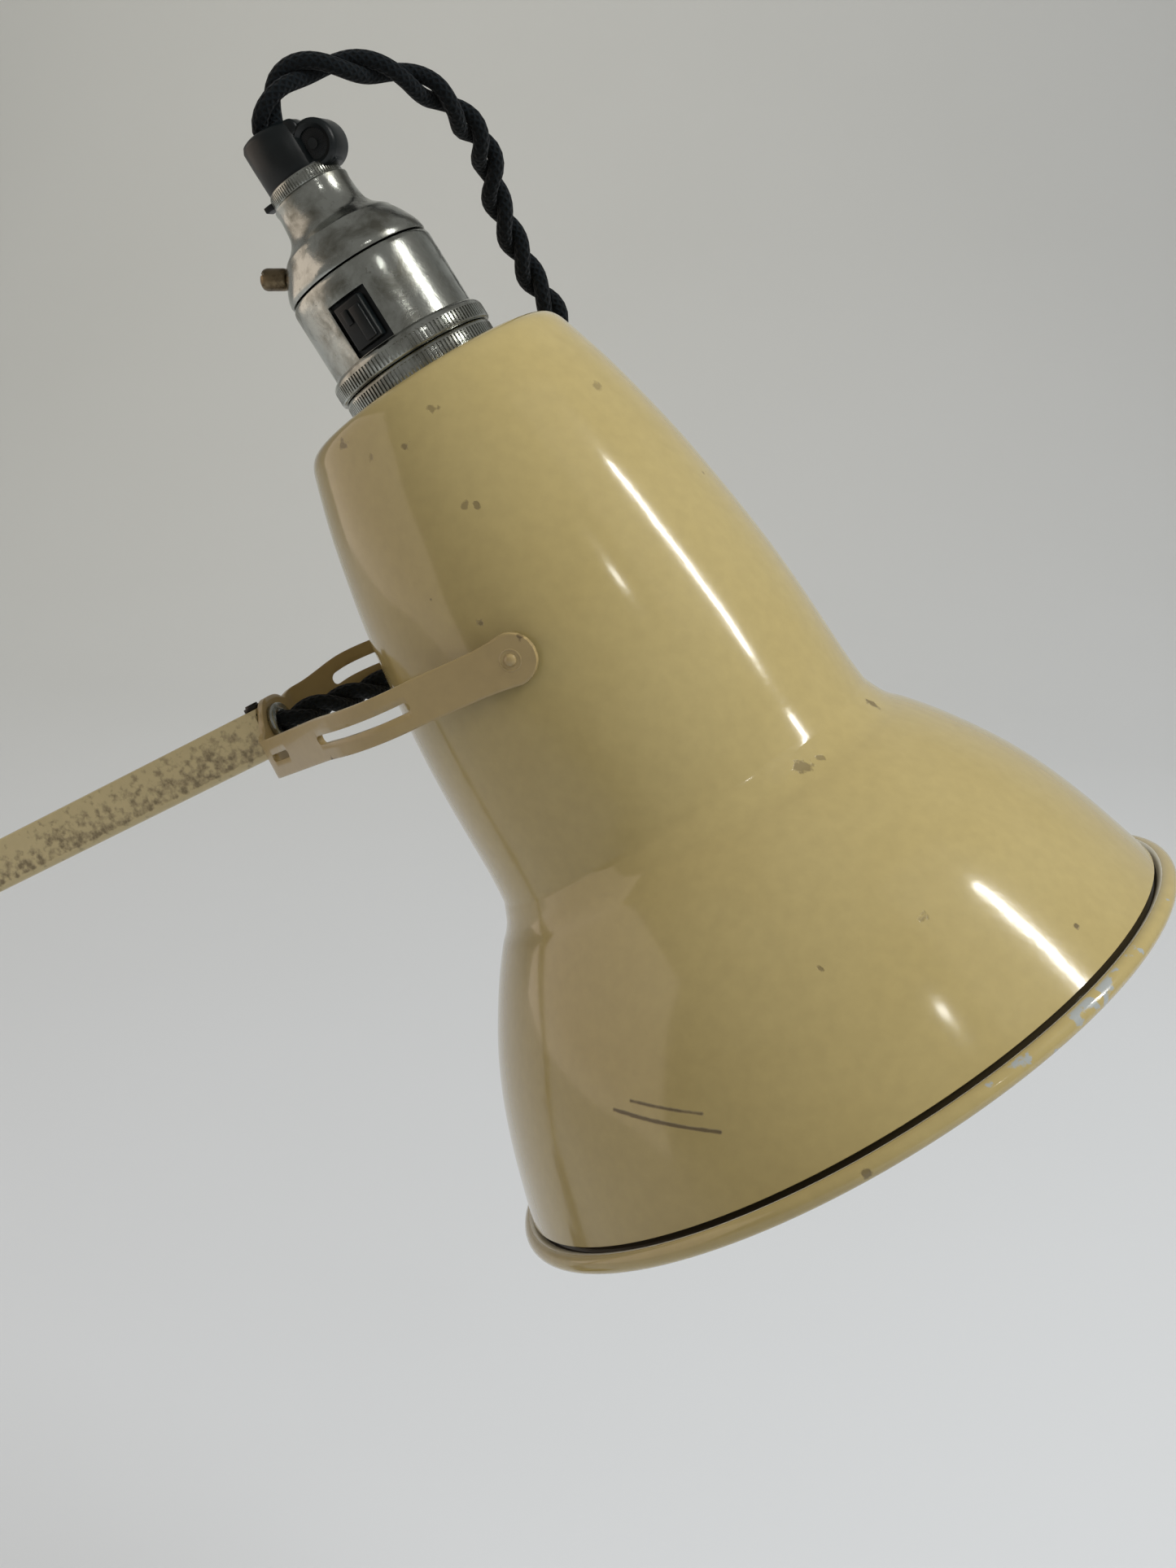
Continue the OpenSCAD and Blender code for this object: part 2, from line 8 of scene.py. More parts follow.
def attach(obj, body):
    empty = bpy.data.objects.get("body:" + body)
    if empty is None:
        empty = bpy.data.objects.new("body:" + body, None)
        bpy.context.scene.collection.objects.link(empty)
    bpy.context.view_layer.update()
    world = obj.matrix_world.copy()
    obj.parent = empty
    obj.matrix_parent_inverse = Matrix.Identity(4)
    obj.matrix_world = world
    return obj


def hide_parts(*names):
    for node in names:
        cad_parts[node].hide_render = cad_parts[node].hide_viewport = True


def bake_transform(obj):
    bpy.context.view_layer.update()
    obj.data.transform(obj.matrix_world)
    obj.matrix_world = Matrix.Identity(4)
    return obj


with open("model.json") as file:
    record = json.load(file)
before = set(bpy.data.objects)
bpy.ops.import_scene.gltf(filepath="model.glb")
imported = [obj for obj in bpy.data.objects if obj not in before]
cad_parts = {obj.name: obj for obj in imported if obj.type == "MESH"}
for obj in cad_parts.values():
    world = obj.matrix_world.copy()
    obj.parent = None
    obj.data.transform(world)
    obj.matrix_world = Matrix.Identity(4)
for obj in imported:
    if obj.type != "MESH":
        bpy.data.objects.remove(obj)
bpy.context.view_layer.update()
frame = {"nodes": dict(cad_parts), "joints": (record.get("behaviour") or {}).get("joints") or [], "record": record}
mm = 0.001
yAxis = Vector((0, 1, 0))
joints = {joint["name"]: joint for joint in frame["joints"]}
slotOf = {row["node"]: row["material_slot"] for row in frame["record"]["subparts"]}
bodyOf = {node: body for body, nodes in frame["record"]["behaviour"]["bodies"].items() for node in nodes}


# Places: each arm, the fork and the head has a frame of its own, taken from the joints

def pivotOf(name):
    return Vector(joints[name]["pos_m"])


def placing(origin, along, up):
    columns = (along, up.cross(along), up, origin)
    return Matrix([[column[i] for column in columns] for i in range(3)] + [[0, 0, 0, 1]])


armOut = Vector(joints["fork_swivel"]["axis"])
armUp = armOut.cross(yAxis)
headUp = Vector(joints["switch_rock"]["axis"])
lowerUp = (pivotOf("elbow") - pivotOf("lower_arm_tilt")).normalized()
pinDepth = 60.7  # mm from the shade's top down to the tilt pins
standPlace = Matrix.Identity(4)
lowerPlace = placing(pivotOf("lower_arm_tilt"), yAxis.cross(lowerUp), lowerUp)
upperPlace = placing(pivotOf("elbow"), armOut, armUp)
forkPlace = placing(pivotOf("head_tilt"), armOut, armUp)
headPlace = placing(pivotOf("head_tilt") + pinDepth * mm * headUp, yAxis.cross(headUp), headUp)


def onShade(depth, around, radius):
    # a point on the shade, by its depth below the top and its angle round it
    a = radians(around)
    return headPlace @ (Vector((radius * cos(a), radius * sin(a), -depth)) * mm)


# Materials

def addNode(tree, kind, inputs=None, **settings):
    node = tree.nodes.new("ShaderNode" + kind)
    for key, value in settings.items():
        setattr(node, key, value)
    for key, value in (inputs or {}).items():
        if isinstance(value, bpy.types.NodeSocket):
            tree.links.new(value, node.inputs[key])
        else:
            node.inputs[key].default_value = value
    return node


def linear(hexColour):
    parts = [int(hexColour[i:i + 2], 16) / 255 for i in (1, 3, 5)]
    return [c / 12.92 if c <= 0.04045 else ((c + 0.055) / 1.055) ** 2.4 for c in parts] + [1]


def newMaterial(name, **inputs):
    material = bpy.data.materials.new(name)
    material.use_nodes = True
    tree = material.node_tree
    shader = tree.nodes["Principled BSDF"]
    for key, value in inputs.items():
        shader.inputs[key.replace("_", " ")].default_value = value
    return material, tree, shader


def perMillimetre(size):
    return 1000 / size  # a noise scale whose features are that many mm


def paint(fresh, yellowed, chip, metal="#8b8f92"):
    return {"fresh": fresh, "yellowed": yellowed, "chip": chip, "metal": metal}


def stovedEnamel(name, colours, marks=(), scratches=(), rimChips=None, *, gloss, wearAmount):
    # cream stoving enamel over steel: a thick glossy coat, a little yellowed and uneven, with
    # dark rusty chips where it was knocked and specks of dirt
    material, tree, shader = newMaterial(name, IOR=1.5, Coat_Weight=0.35, Coat_Roughness=0.06, Coat_IOR=1.5)
    place = addNode(tree, "TexCoord").outputs["Object"]
    cloudy = addNode(tree, "TexNoise", {"Vector": place, "Scale": perMillimetre(46), "Detail": 3.0})
    aged = addNode(tree, "Mix", {0: cloudy.outputs["Fac"], 6: linear(colours["fresh"]),
                                 7: linear(colours["yellowed"])}, data_type="RGBA")
    fine = addNode(tree, "TexNoise", {"Vector": place, "Scale": perMillimetre(2.6), "Detail": 5.0})
    mottle = addNode(tree, "MapRange", {"Value": fine.outputs["Fac"], 1: 0.3, 2: 0.7, 3: 0.955, 4: 1.03})
    toned = addNode(tree, "Mix", {0: 1.0, 6: aged.outputs[2], 7: mottle.outputs[0]}, data_type="RGBA",
                    blend_type="MULTIPLY")
    # specks of dirt in the coat
    cells = addNode(tree, "TexVoronoi", {"Vector": place, "Scale": perMillimetre(11), "Randomness": 1.0})
    rare = addNode(tree, "TexNoise", {"Vector": place, "Scale": perMillimetre(25)})
    few = addNode(tree, "MapRange", {"Value": rare.outputs["Fac"], 1: 0.5, 2: 0.72, 3: 0.0, 4: 0.045})
    speck = addNode(tree, "Math", {0: cells.outputs["Distance"], 1: few.outputs[0]}, operation="LESS_THAN")
    chip = addNode(tree, "Math", {0: speck.outputs[0], 1: 0.55}, operation="MULTIPLY").outputs[0]
    ragged = addNode(tree, "TexNoise", {"Vector": place, "Scale": perMillimetre(1.6), "Detail": 6.0})
    jitter = addNode(tree, "MapRange", {"Value": ragged.outputs["Fac"], 1: 0.3, 2: 0.7, 3: -1.0, 4: 1.0})
    for point, size, strength in marks:
        away = addNode(tree, "VectorMath", {0: place, 1: point}, operation="DISTANCE")
        rough = addNode(tree, "Math", {0: jitter.outputs[0], 1: 0.7 * size * mm, 2: away.outputs["Value"]},
                        operation="MULTIPLY_ADD")
        spot = addNode(tree, "MapRange", {"Value": rough.outputs[0], 1: size * mm, 2: 0.55 * size * mm,
                                          3: 0.0, 4: strength})
        chip = addNode(tree, "Math", {0: chip, 1: spot.outputs[0]}, operation="MAXIMUM").outputs[0]
    for start, end, width in scratches:
        # the distance to a straight line between two points, thinned at its ends
        line = end - start
        offset = addNode(tree, "VectorMath", {0: place, 1: start}, operation="SUBTRACT")
        share = addNode(tree, "VectorMath", {0: offset.outputs[0], 1: line / line.length_squared},
                        operation="DOT_PRODUCT")
        held = addNode(tree, "Clamp", {"Value": share.outputs["Value"]})
        foot = addNode(tree, "VectorMath", {0: line, "Scale": held.outputs[0]}, operation="SCALE")
        away = addNode(tree, "VectorMath", {0: offset.outputs[0], 1: foot.outputs[0]}, operation="DISTANCE")
        rough = addNode(tree, "Math", {0: jitter.outputs[0], 1: 0.14 * width * mm, 2: away.outputs["Value"]},
                        operation="MULTIPLY_ADD")
        cut = addNode(tree, "MapRange", {"Value": rough.outputs[0], 1: width * mm, 2: 0.4 * width * mm,
                                         3: 0.0, 4: 0.85})
        chip = addNode(tree, "Math", {0: chip, 1: cut.outputs[0]}, operation="MAXIMUM").outputs[0]
    # paint worn through along hard edges
    edge = addNode(tree, "NewGeometry").outputs["Pointiness"]
    worn = addNode(tree, "Math", {0: jitter.outputs[0], 1: 0.035, 2: edge}, operation="MULTIPLY_ADD")
    wear = addNode(tree, "MapRange", {"Value": worn.outputs[0], 1: 0.585, 2: 0.63, 3: 0.0, 4: wearAmount})
    chip = addNode(tree, "Math", {0: chip, 1: wear.outputs[0]}, operation="MAXIMUM").outputs[0]
    metal = 0.0
    if rimChips:
        # the rolled rim is knocked through to grey steel along one stretch
        away = addNode(tree, "VectorMath", {0: place, 1: rimChips["middle"]}, operation="DISTANCE")
        near = addNode(tree, "MapRange", {"Value": away.outputs["Value"], 1: rimChips["reach"] * mm, 2: 0.0,
                                          3: 0.0, 4: 1.0})
        rim = addNode(tree, "VectorMath", {0: place, 1: rimChips["centre"]}, operation="DISTANCE")
        outer = addNode(tree, "MapRange", {"Value": rim.outputs["Value"], 1: rimChips["radius"] * mm,
                                           2: (rimChips["radius"] + 0.6) * mm, 3: 0.0, 4: 1.0})
        broken = addNode(tree, "TexNoise", {"Vector": place, "Scale": perMillimetre(3.6), "Detail": 7.0})
        lost = addNode(tree, "Math", {0: near.outputs[0], 1: 0.3, 2: broken.outputs["Fac"]},
                       operation="MULTIPLY_ADD")
        bare = addNode(tree, "MapRange", {"Value": lost.outputs[0], 1: 0.79, 2: 0.83, 3: 0.0, 4: 1.0})
        metal = addNode(tree, "Math", {0: bare.outputs[0], 1: outer.outputs[0]},
                        operation="MULTIPLY").outputs[0]
    chipped = addNode(tree, "Mix", {0: chip, 6: toned.outputs[2], 7: linear(colours["chip"])},
                      data_type="RGBA")
    shown = addNode(tree, "Mix", {0: metal, 6: chipped.outputs[2], 7: linear(colours["metal"])},
                    data_type="RGBA")
    tree.links.new(shown.outputs[2], shader.inputs["Base Color"])
    dull = addNode(tree, "MapRange", {"Value": chip, 3: gloss, 4: 0.7})
    tree.links.new(dull.outputs[0], shader.inputs["Roughness"])
    # orange peel and the slight waviness of spun metal, with the chips sunk in
    peel = addNode(tree, "TexNoise", {"Vector": place, "Scale": perMillimetre(1.7), "Detail": 1.0})
    wavy = addNode(tree, "Bump", {"Height": cloudy.outputs["Fac"], "Distance": 1.3 * mm, "Strength": 0.22})
    peeled = addNode(tree, "Bump", {"Height": peel.outputs["Fac"], "Distance": 0.02 * mm, "Strength": 0.5,
                                    "Normal": wavy.outputs[0]})
    sunk = addNode(tree, "Bump", {"Height": chip, "Distance": 0.15 * mm, "Strength": 0.8,
                                  "Normal": peeled.outputs[0]}, invert=True)
    tree.links.new(sunk.outputs[0], shader.inputs["Normal"])
    return material


def agedMetal(name, clean, tarnish, roughness, patch, amount, grain=0.5):
    # plated or bare metal gone dull: bright where it is handled, brown and rough in the patches between
    material, tree, shader = newMaterial(name, Metallic=1.0)
    place = addNode(tree, "TexCoord").outputs["Object"]
    patches = addNode(tree, "TexNoise", {"Vector": place, "Scale": perMillimetre(patch), "Detail": 6.0,
                                         "Roughness": 0.62, "Distortion": 0.4})
    stain = addNode(tree, "MapRange", {"Value": patches.outputs["Fac"], 1: 0.42, 2: 0.66, 3: 0.0, 4: amount})
    pits = addNode(tree, "TexNoise", {"Vector": place, "Scale": perMillimetre(0.9), "Detail": 4.0})
    pitted = addNode(tree, "MapRange", {"Value": pits.outputs["Fac"], 1: 0.62, 2: 0.75, 3: 0.0, 4: 0.6})
    soiled = addNode(tree, "Math", {0: stain.outputs[0], 1: pitted.outputs[0]}, operation="MAXIMUM")
    colour = addNode(tree, "Mix", {0: soiled.outputs[0], 6: linear(clean), 7: linear(tarnish)},
                     data_type="RGBA")
    tree.links.new(colour.outputs[2], shader.inputs["Base Color"])
    rough = addNode(tree, "MapRange", {"Value": soiled.outputs[0], 3: roughness[0], 4: roughness[1]})
    tree.links.new(rough.outputs[0], shader.inputs["Roughness"])
    uneven = addNode(tree, "Bump", {"Height": patches.outputs["Fac"], "Distance": 0.25 * mm, "Strength": 0.3})
    grainy = addNode(tree, "Bump", {"Height": pits.outputs["Fac"], "Distance": 0.05 * mm, "Strength": grain,
                                    "Normal": uneven.outputs[0]})
    tree.links.new(grainy.outputs[0], shader.inputs["Normal"])
    return material


def mouldedPhenolic(name, colour, dusty, roughness=0.34):
    # black phenolic resin: moulded smooth, gone slightly matt, with dust and rub marks
    material, tree, shader = newMaterial(name, IOR=1.45)
    place = addNode(tree, "TexCoord").outputs["Object"]
    dust = addNode(tree, "TexNoise", {"Vector": place, "Scale": perMillimetre(5), "Detail": 6.0})
    film = addNode(tree, "MapRange", {"Value": dust.outputs["Fac"], 1: 0.4, 2: 0.75, 3: 0.0, 4: 0.5})
    tone = addNode(tree, "Mix", {0: film.outputs[0], 6: linear(colour), 7: linear(dusty)}, data_type="RGBA")
    tree.links.new(tone.outputs[2], shader.inputs["Base Color"])
    rough = addNode(tree, "MapRange", {"Value": film.outputs[0], 4: roughness + 0.2, 3: roughness})
    tree.links.new(rough.outputs[0], shader.inputs["Roughness"])
    grain = addNode(tree, "TexNoise", {"Vector": place, "Scale": perMillimetre(0.8), "Detail": 3.0})
    bump = addNode(tree, "Bump", {"Height": grain.outputs["Fac"], "Distance": 0.04 * mm, "Strength": 0.5})
    tree.links.new(bump.outputs[0], shader.inputs["Normal"])
    return material


def braidedCotton(name, colour, worn, pitch=1.7):
    # black cotton braid over each core: two sets of threads cross round it, one over the other
    # the real threads are about 0.4 mm apart; they are drawn four times as coarse so that they show
    material, tree, shader = newMaterial(name, Sheen_Weight=0.04, Sheen_Roughness=0.5, IOR=1.35,
                                         Roughness=0.9)
    along = addNode(tree, "UVMap", uv_map="length")
    flat = addNode(tree, "SeparateXYZ", {0: along.outputs[0]})
    threads = []
    for lean in (1, -1):
        slanted = addNode(tree, "Math", {0: flat.outputs[1], 1: lean * 1.0, 2: flat.outputs[0]},
                          operation="MULTIPLY_ADD")
        angle = addNode(tree, "Math", {0: slanted.outputs[0], 1: 2 * pi / pitch}, operation="MULTIPLY")
        threads.append(addNode(tree, "Math", {0: angle.outputs[0]}, operation="SINE").outputs[0])
    weave = addNode(tree, "Math", {0: threads[0], 1: threads[1]}, operation="MAXIMUM")
    fuzz = addNode(tree, "TexNoise", {"Vector": along.outputs[0], "Scale": 1.3, "Detail": 5.0})
    height = addNode(tree, "Math", {0: fuzz.outputs["Fac"], 1: 0.9, 2: weave.outputs[0]},
                     operation="MULTIPLY_ADD")
    # the raised threads are painted lighter than the dips between them: a painted highlight on the thread tops and
    # painted shade in the dips, with some wear
    lit = addNode(tree, "MapRange", {"Value": height.outputs[0], 1: 0.0, 2: 1.6, 3: 0.0, 4: 0.8})
    tone = addNode(tree, "Mix", {0: lit.outputs[0], 6: linear(colour), 7: linear(worn)}, data_type="RGBA")
    tree.links.new(tone.outputs[2], shader.inputs["Base Color"])
    bump = addNode(tree, "Bump", {"Height": height.outputs[0], "Distance": 0.18 * mm, "Strength": 0.8})
    tree.links.new(bump.outputs[0], shader.inputs["Normal"])
    return material


def pressedFelt(name, colour, fibre):
    # green wool felt: matt, with short fibres lying every way
    material, tree, shader = newMaterial(name, Sheen_Weight=0.5, Sheen_Roughness=0.6, Roughness=0.95)
    place = addNode(tree, "TexCoord").outputs["Object"]
    fibres = addNode(tree, "TexNoise", {"Vector": place, "Scale": perMillimetre(0.9), "Detail": 8.0,
                                        "Roughness": 0.7})
    tone = addNode(tree, "Mix", {0: fibres.outputs["Fac"], 6: linear(colour), 7: linear(fibre)},
                   data_type="RGBA")
    tree.links.new(tone.outputs[2], shader.inputs["Base Color"])
    bump = addNode(tree, "Bump", {"Height": fibres.outputs["Fac"], "Distance": 0.3 * mm, "Strength": 0.9})
    tree.links.new(bump.outputs[0], shader.inputs["Normal"])
    return material


def pearlGlass(name):
    # soda glass frosted on the inside, so the bulb glows white and hides its filament
    material, tree, shader = newMaterial(name, IOR=1.5, Transmission_Weight=0.35, Coat_Weight=0.6,
                                         Coat_Roughness=0.03)
    place = addNode(tree, "TexCoord").outputs["Object"]
    frost = addNode(tree, "TexNoise", {"Vector": place, "Scale": perMillimetre(14), "Detail": 2.0})
    tone = addNode(tree, "Mix", {0: frost.outputs["Fac"], 6: linear("#f2efe6"), 7: linear("#e2ded2")},
                   data_type="RGBA")
    tree.links.new(tone.outputs[2], shader.inputs["Base Color"])
    rough = addNode(tree, "MapRange", {"Value": frost.outputs["Fac"], 3: 0.5, 4: 0.68})
    tree.links.new(rough.outputs[0], shader.inputs["Roughness"])
    return material


shadeMarks = [  # depth, angle round the shade, radius there, size and depth of colour
    (51.7, -94, 41, 1.3, 0.75), (32.5, -78, 37.6, 1.1, 0.7), (31.2, -81.3, 37.3, 1.0, 0.6),
    (139.6, -49.5, 67.9, 1.5, 0.5), (136.6, -67.6, 66.4, 0.9, 0.7), (157.7, -30.6, 74.6, 0.75, 1.0),
    (107.6, -7.8, 46.6, 1.8, 0.85), (107.6, -43, 46.6, 2.0, 0.7), (108.4, -38, 47, 1.2, 0.6),
    (11.9, -74.7, 32.6, 1.4, 0.6), (7.5, -113, 31.4, 1.5, 0.7), (15.3, -89.3, 33.5, 1.2, 0.7),
    (13, -103, 33, 1.1, 0.5), (24.7, -19.7, 35.8, 1.5, 0.5), (168.5, -77, 80, 1.4, 0.8),
    (90, 60, 44.2, 1.6, 0.7), (145, 130, 70.2, 1.5, 0.7), (60, 150, 42.1, 1.2, 0.6),
    (107.5, 110, 46.6, 2.0, 0.7)
]
shadeScratches = []
scratchEnds = [((141.6, -105.4, 69), (148.2, -94.3, 71.6), 0.45),
               ((142.1, -109.2, 69.1), (152.3, -92.8, 72.9), 0.5)]
for startAt, endAt, width in scratchEnds:
    # in short lengths, so that each follows the curve of the shade
    stations = [onShade(*[a + (b - a) * k / 4 for a, b in zip(startAt, endAt)]) for k in range(5)]
    shadeScratches += [(a, b, width) for a, b in zip(stations, stations[1:])]
cream = paint("#ad9d6c", "#a3905a", "#4f4029", "#9a9d98")
shadeEnamel = stovedEnamel(
    "StovedEnamelShade", cream,
    marks=[(onShade(depth, around, radius), 0.8 * size, 0.8 * strength)
           for depth, around, radius, size, strength in shadeMarks],
    scratches=shadeScratches,
    rimChips={"middle": onShade(168.5, -38, 80), "reach": 52, "centre": onShade(168.5, 0, 0), "radius": 78.4},
    gloss=0.13, wearAmount=0.0)
reflectorEnamel = stovedEnamel("StovedEnamelReflector", paint("#e6e2d4", "#d8d0b4", "#4a3c26"), gloss=0.3,
                               wearAmount=0.0)
# the fold above the rim is painted dark: painted shade in the crease, with old polish and dust in it
grooveShadeAndGrimeEnamel = stovedEnamel("PaintedShadeAndGrimeInTheRimFold", paint("#3a301b", "#2b2415", "#15110a"), gloss=0.6,
                           wearAmount=0.0)
# the arms' cream is set lighter than the shade's: painted light that lifts the arms out of the shade they lie in
armEnamelPaintedLighter = stovedEnamel("StovedEnamelArmsPaintedLighter", paint("#c0b084", "#b4a376", "#54452c"), gloss=0.36,
                         wearAmount=0.75)
forkEnamel = stovedEnamel(
    "StovedEnamelFork", paint("#a69266", "#9a8456", "#4d3d26"),
    marks=[(forkPlace @ (Vector(p) * mm), size, strength) for p, size, strength in (
        ((-47, -37, -3.2), 1.8, 0.8), ((-43, -39, -3.9), 1.3, 0.8), ((-73, -8, 10), 2.0, 0.7),
        ((-74, 6, 3), 3.0, 0.7), ((-56, 28, 15), 2.5, 0.35), ((4, -45.6, 3.4), 1.3, 0.7))],
    gloss=0.3, wearAmount=0.3)
castEnamel = stovedEnamel("StovedEnamelCasting", paint("#b0a073", "#a08e5f", "#43341f", "#5c5c58"),
                          gloss=0.27, wearAmount=0.8)
platedHolder = agedMetal("TarnishedNickelPlate", "#b9bcb7", "#595649", roughness=(0.17, 0.42), patch=8,
                         amount=0.75)
materialOf = {
    "felt": pressedFelt("PressedWoolFelt", "#27402d", "#3f5c41"),
    "cast_enamel": castEnamel,
    "enamel_steel": armEnamelPaintedLighter,
    "shade_enamel": shadeEnamel,
    "plated_steel": agedMetal("NickelPlatedSteel", "#b3afa4", "#6b5d48", roughness=(0.22, 0.5), patch=5,
                              amount=0.6),
    "plated_brass": platedHolder,
    "blackened_steel": agedMetal("BlackenedSteel", "#3a3835", "#241d17", roughness=(0.35, 0.6), patch=4,
                                 amount=0.7),
    "spring_wire": agedMetal("SpringSteelWire", "#a5a6a4", "#5b5750", roughness=(0.24, 0.45), patch=7,
                             amount=0.5),
    "bronze": agedMetal("OiledBronze", "#a9825a", "#5d4427", roughness=(0.3, 0.5), patch=6, amount=0.6),
    "brass": agedMetal("DulledBrass", "#7d6f58", "#3a3023", roughness=(0.28, 0.55), patch=3, amount=0.85),
    "bakelite": mouldedPhenolic("BlackPhenolic", "#060a0b", "#10181a"),
    "black_rubber": mouldedPhenolic("MouldedRubber", "#0a0c0d", "#16191a", roughness=0.6),
    "braid": braidedCotton("BraidedCottonFlex", "#030506", "#0d1418"),
    "bulb_metal": agedMetal("BulbCapBrass", "#c9c3b2", "#7d7462", roughness=(0.25, 0.5), patch=6, amount=0.5),
    "bulb_glass": pearlGlass("PearlGlass"),
}
print("materials:", len(bpy.data.materials))


# Modelling helpers

def clearSelection():
    if bpy.context.object and bpy.context.object.mode != "OBJECT":
        bpy.ops.object.mode_set(mode="OBJECT")
    bpy.ops.object.select_all(action="DESELECT")


def pick(piece):
    clearSelection()
    piece.select_set(True)
    bpy.context.view_layer.objects.active = piece


def editing(on):
    bpy.ops.object.mode_set(mode="EDIT" if on else "OBJECT")


def smoothLine(points, parts):
    # a soft line through all the points
    line, last = [], len(points) - 1
    for i in range(last):
        a, b, c, d = (Vector(points[min(max(i + k, 0), last)]) for k in (-1, 0, 1, 2))
        for k in range(parts):
            t = k / parts
            line.append(0.5 * (2 * b + (c - a) * t + (2 * a - 5 * b + 4 * c - d) * t ** 2
                               + (3 * b - a - 3 * c + d) * t ** 3))
    return line + [Vector(points[-1])]


def arcPoints(centre, radius, start, end, count):
    angles = [radians(start + (end - start) * k / count) for k in range(count + 1)]
    return [(centre[0] + radius * cos(a), centre[1] + radius * sin(a)) for a in angles]


def lathe(name, outline, steps, closed=True):
    # one point extruded along the outline of (radius, height), then spun round Z
    clearSelection()
    bpy.ops.mesh.primitive_plane_add(size=mm)
    piece = bpy.context.object
    piece.name = name
    editing(True)
    bpy.ops.mesh.select_mode(type="VERT")
    bpy.ops.mesh.select_all(action="SELECT")
    bpy.ops.mesh.merge(type="CENTER")
    points = [tuple(p) for p in outline] + ([tuple(outline[0])] if closed else [])
    bpy.ops.transform.translate(value=(points[0][0] * mm, 0, points[0][1] * mm))
    for here, there in zip(points, points[1:]):
        step = ((there[0] - here[0]) * mm, 0, (there[1] - here[1]) * mm)
        bpy.ops.mesh.extrude_region_move(TRANSFORM_OT_translate={"value": step})
    bpy.ops.mesh.select_all(action="SELECT")
    bpy.ops.mesh.spin(steps=steps, angle=2 * pi, center=(0, 0, 0), axis=(0, 0, 1))
    bpy.ops.mesh.select_all(action="SELECT")
    bpy.ops.mesh.remove_doubles(threshold=0.004 * mm)
    bpy.ops.mesh.normals_make_consistent(inside=False)
    editing(False)
    return piece


def selectFaces(piece, wanted):
    pick(piece)
    editing(True)
    bpy.ops.mesh.select_mode(type="FACE")
    bpy.ops.mesh.select_all(action="DESELECT")
    editing(False)
    for face in piece.data.polygons:
        face.select = wanted(face)
    editing(True)


def knurl(piece, low, high, teeth, depth):
    # every second face between two heights is set in, which leaves straight ridges and plain lips
    def isGroove(face):
        x, y, z = face.center
        outward = face.normal.x * x + face.normal.y * y > 0.9 * hypot(x, y)
        column = int((atan2(y, x) % (2 * pi)) * teeth / pi)
        return outward and low < z / mm < high and column % 2 == 0
    selectFaces(piece, isGroove)
    bpy.ops.mesh.inset(thickness=0.07 * mm, depth=-depth * mm, use_individual=True)
    editing(False)


def useModifier(piece, kind, **settings):
    pick(piece)
    modifier = piece.modifiers.new(kind.title(), kind)
    for key, value in settings.items():
        setattr(modifier, key, value)
    bpy.ops.object.modifier_apply(modifier=modifier.name)


def roundEdges(piece, width, segments, angle=38):
    useModifier(piece, "BEVEL", width=width * mm, segments=segments, limit_method="ANGLE",
                angle_limit=radians(angle), use_clamp_overlap=True)


def block(name, size, centre, width=0.0, segments=3):
    # a cube at its size and place, with its edges rounded
    clearSelection()
    bpy.ops.mesh.primitive_cube_add(size=1)
    piece = bpy.context.object
    piece.name = name
    editing(True)
    bpy.ops.mesh.select_all(action="SELECT")
    bpy.ops.transform.resize(value=[s * mm for s in size])
    if width:
        bpy.ops.mesh.bevel(offset=width * mm, segments=segments)
        bpy.ops.mesh.select_all(action="SELECT")
    bpy.ops.transform.translate(value=[c * mm for c in centre])
    editing(False)
    return piece


def joined(name, pieces):
    clearSelection()
    for piece in pieces:
        piece.select_set(True)
    bpy.context.view_layer.objects.active = pieces[0]
    bpy.ops.object.join()
    pieces[0].name = name
    return pieces[0]


def turned(piece, turn):
    piece.data.transform(turn)
    return piece


sliver = 0.006  # mm, the narrowest face that is kept


def settle(piece, place, nodes, material=None, smooth=34, rides=True):
    # smooths a finished piece, puts it in its place and gives it its finish and its body
    pick(piece)
    editing(True)
    bpy.ops.mesh.select_mode(type="VERT")
    bpy.ops.mesh.select_all(action="SELECT")
    bpy.ops.mesh.remove_doubles(threshold=sliver * mm)
    bpy.ops.mesh.dissolve_degenerate(threshold=sliver * mm)
    editing(False)
    bpy.ops.object.shade_smooth_by_angle(angle=radians(smooth))
    piece.data.transform(place)
    slot = slotOf[nodes[0]]
    if material or not piece.data.materials:
        piece.data.materials.clear()
        piece.data.materials.append(material or materialOf[slot])
    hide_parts(*nodes)
    if rides:
        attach(piece, bodyOf[nodes[0]])
    return piece


# Camera, lights and stage

lens = {"focal": 41.1, "place": (134.0, -361.2, 22.2), "right": (0.9648, 0.261, 0),
        "up": (-0.0736, 0.272, 0.959)}


def buildCamera():
    data = bpy.data.cameras.new("Camera")
    data.lens, data.sensor_width = lens["focal"], 36
    data.clip_start, data.clip_end = 0.01, 60
    camera = bpy.data.objects.new("Camera", data)
    bpy.context.scene.collection.objects.link(camera)
    right, up = Vector(lens["right"]).normalized(), Vector(lens["up"]).normalized()
    camera.matrix_world = placing(headPlace.translation + Vector(lens["place"]) * mm, right, right.cross(up))
    bpy.context.scene.camera = camera


def addLight(name, azimuth, elevation, distance, size, power, colour, glossy=True, target=None):
    # an area light round the head: azimuth 0 is towards the front, 90 towards +X
    a, e = radians(azimuth), radians(elevation)
    away = Vector((sin(a) * cos(e), -cos(a) * cos(e), sin(e)))
    data = bpy.data.lights.new(name, "AREA")
    data.shape, data.size, data.size_y = "RECTANGLE", size[0], size[1]
    data.energy, data.color = power, linear(colour)[:3]
    light = bpy.data.objects.new(name, data)
    bpy.context.scene.collection.objects.link(light)
    middle = Vector(target or headPlace.translation)
    light.location = middle + away * distance
    light.rotation_euler = (-away).to_track_quat("-Z", "Y").to_euler()
    light.visible_glossy = glossy


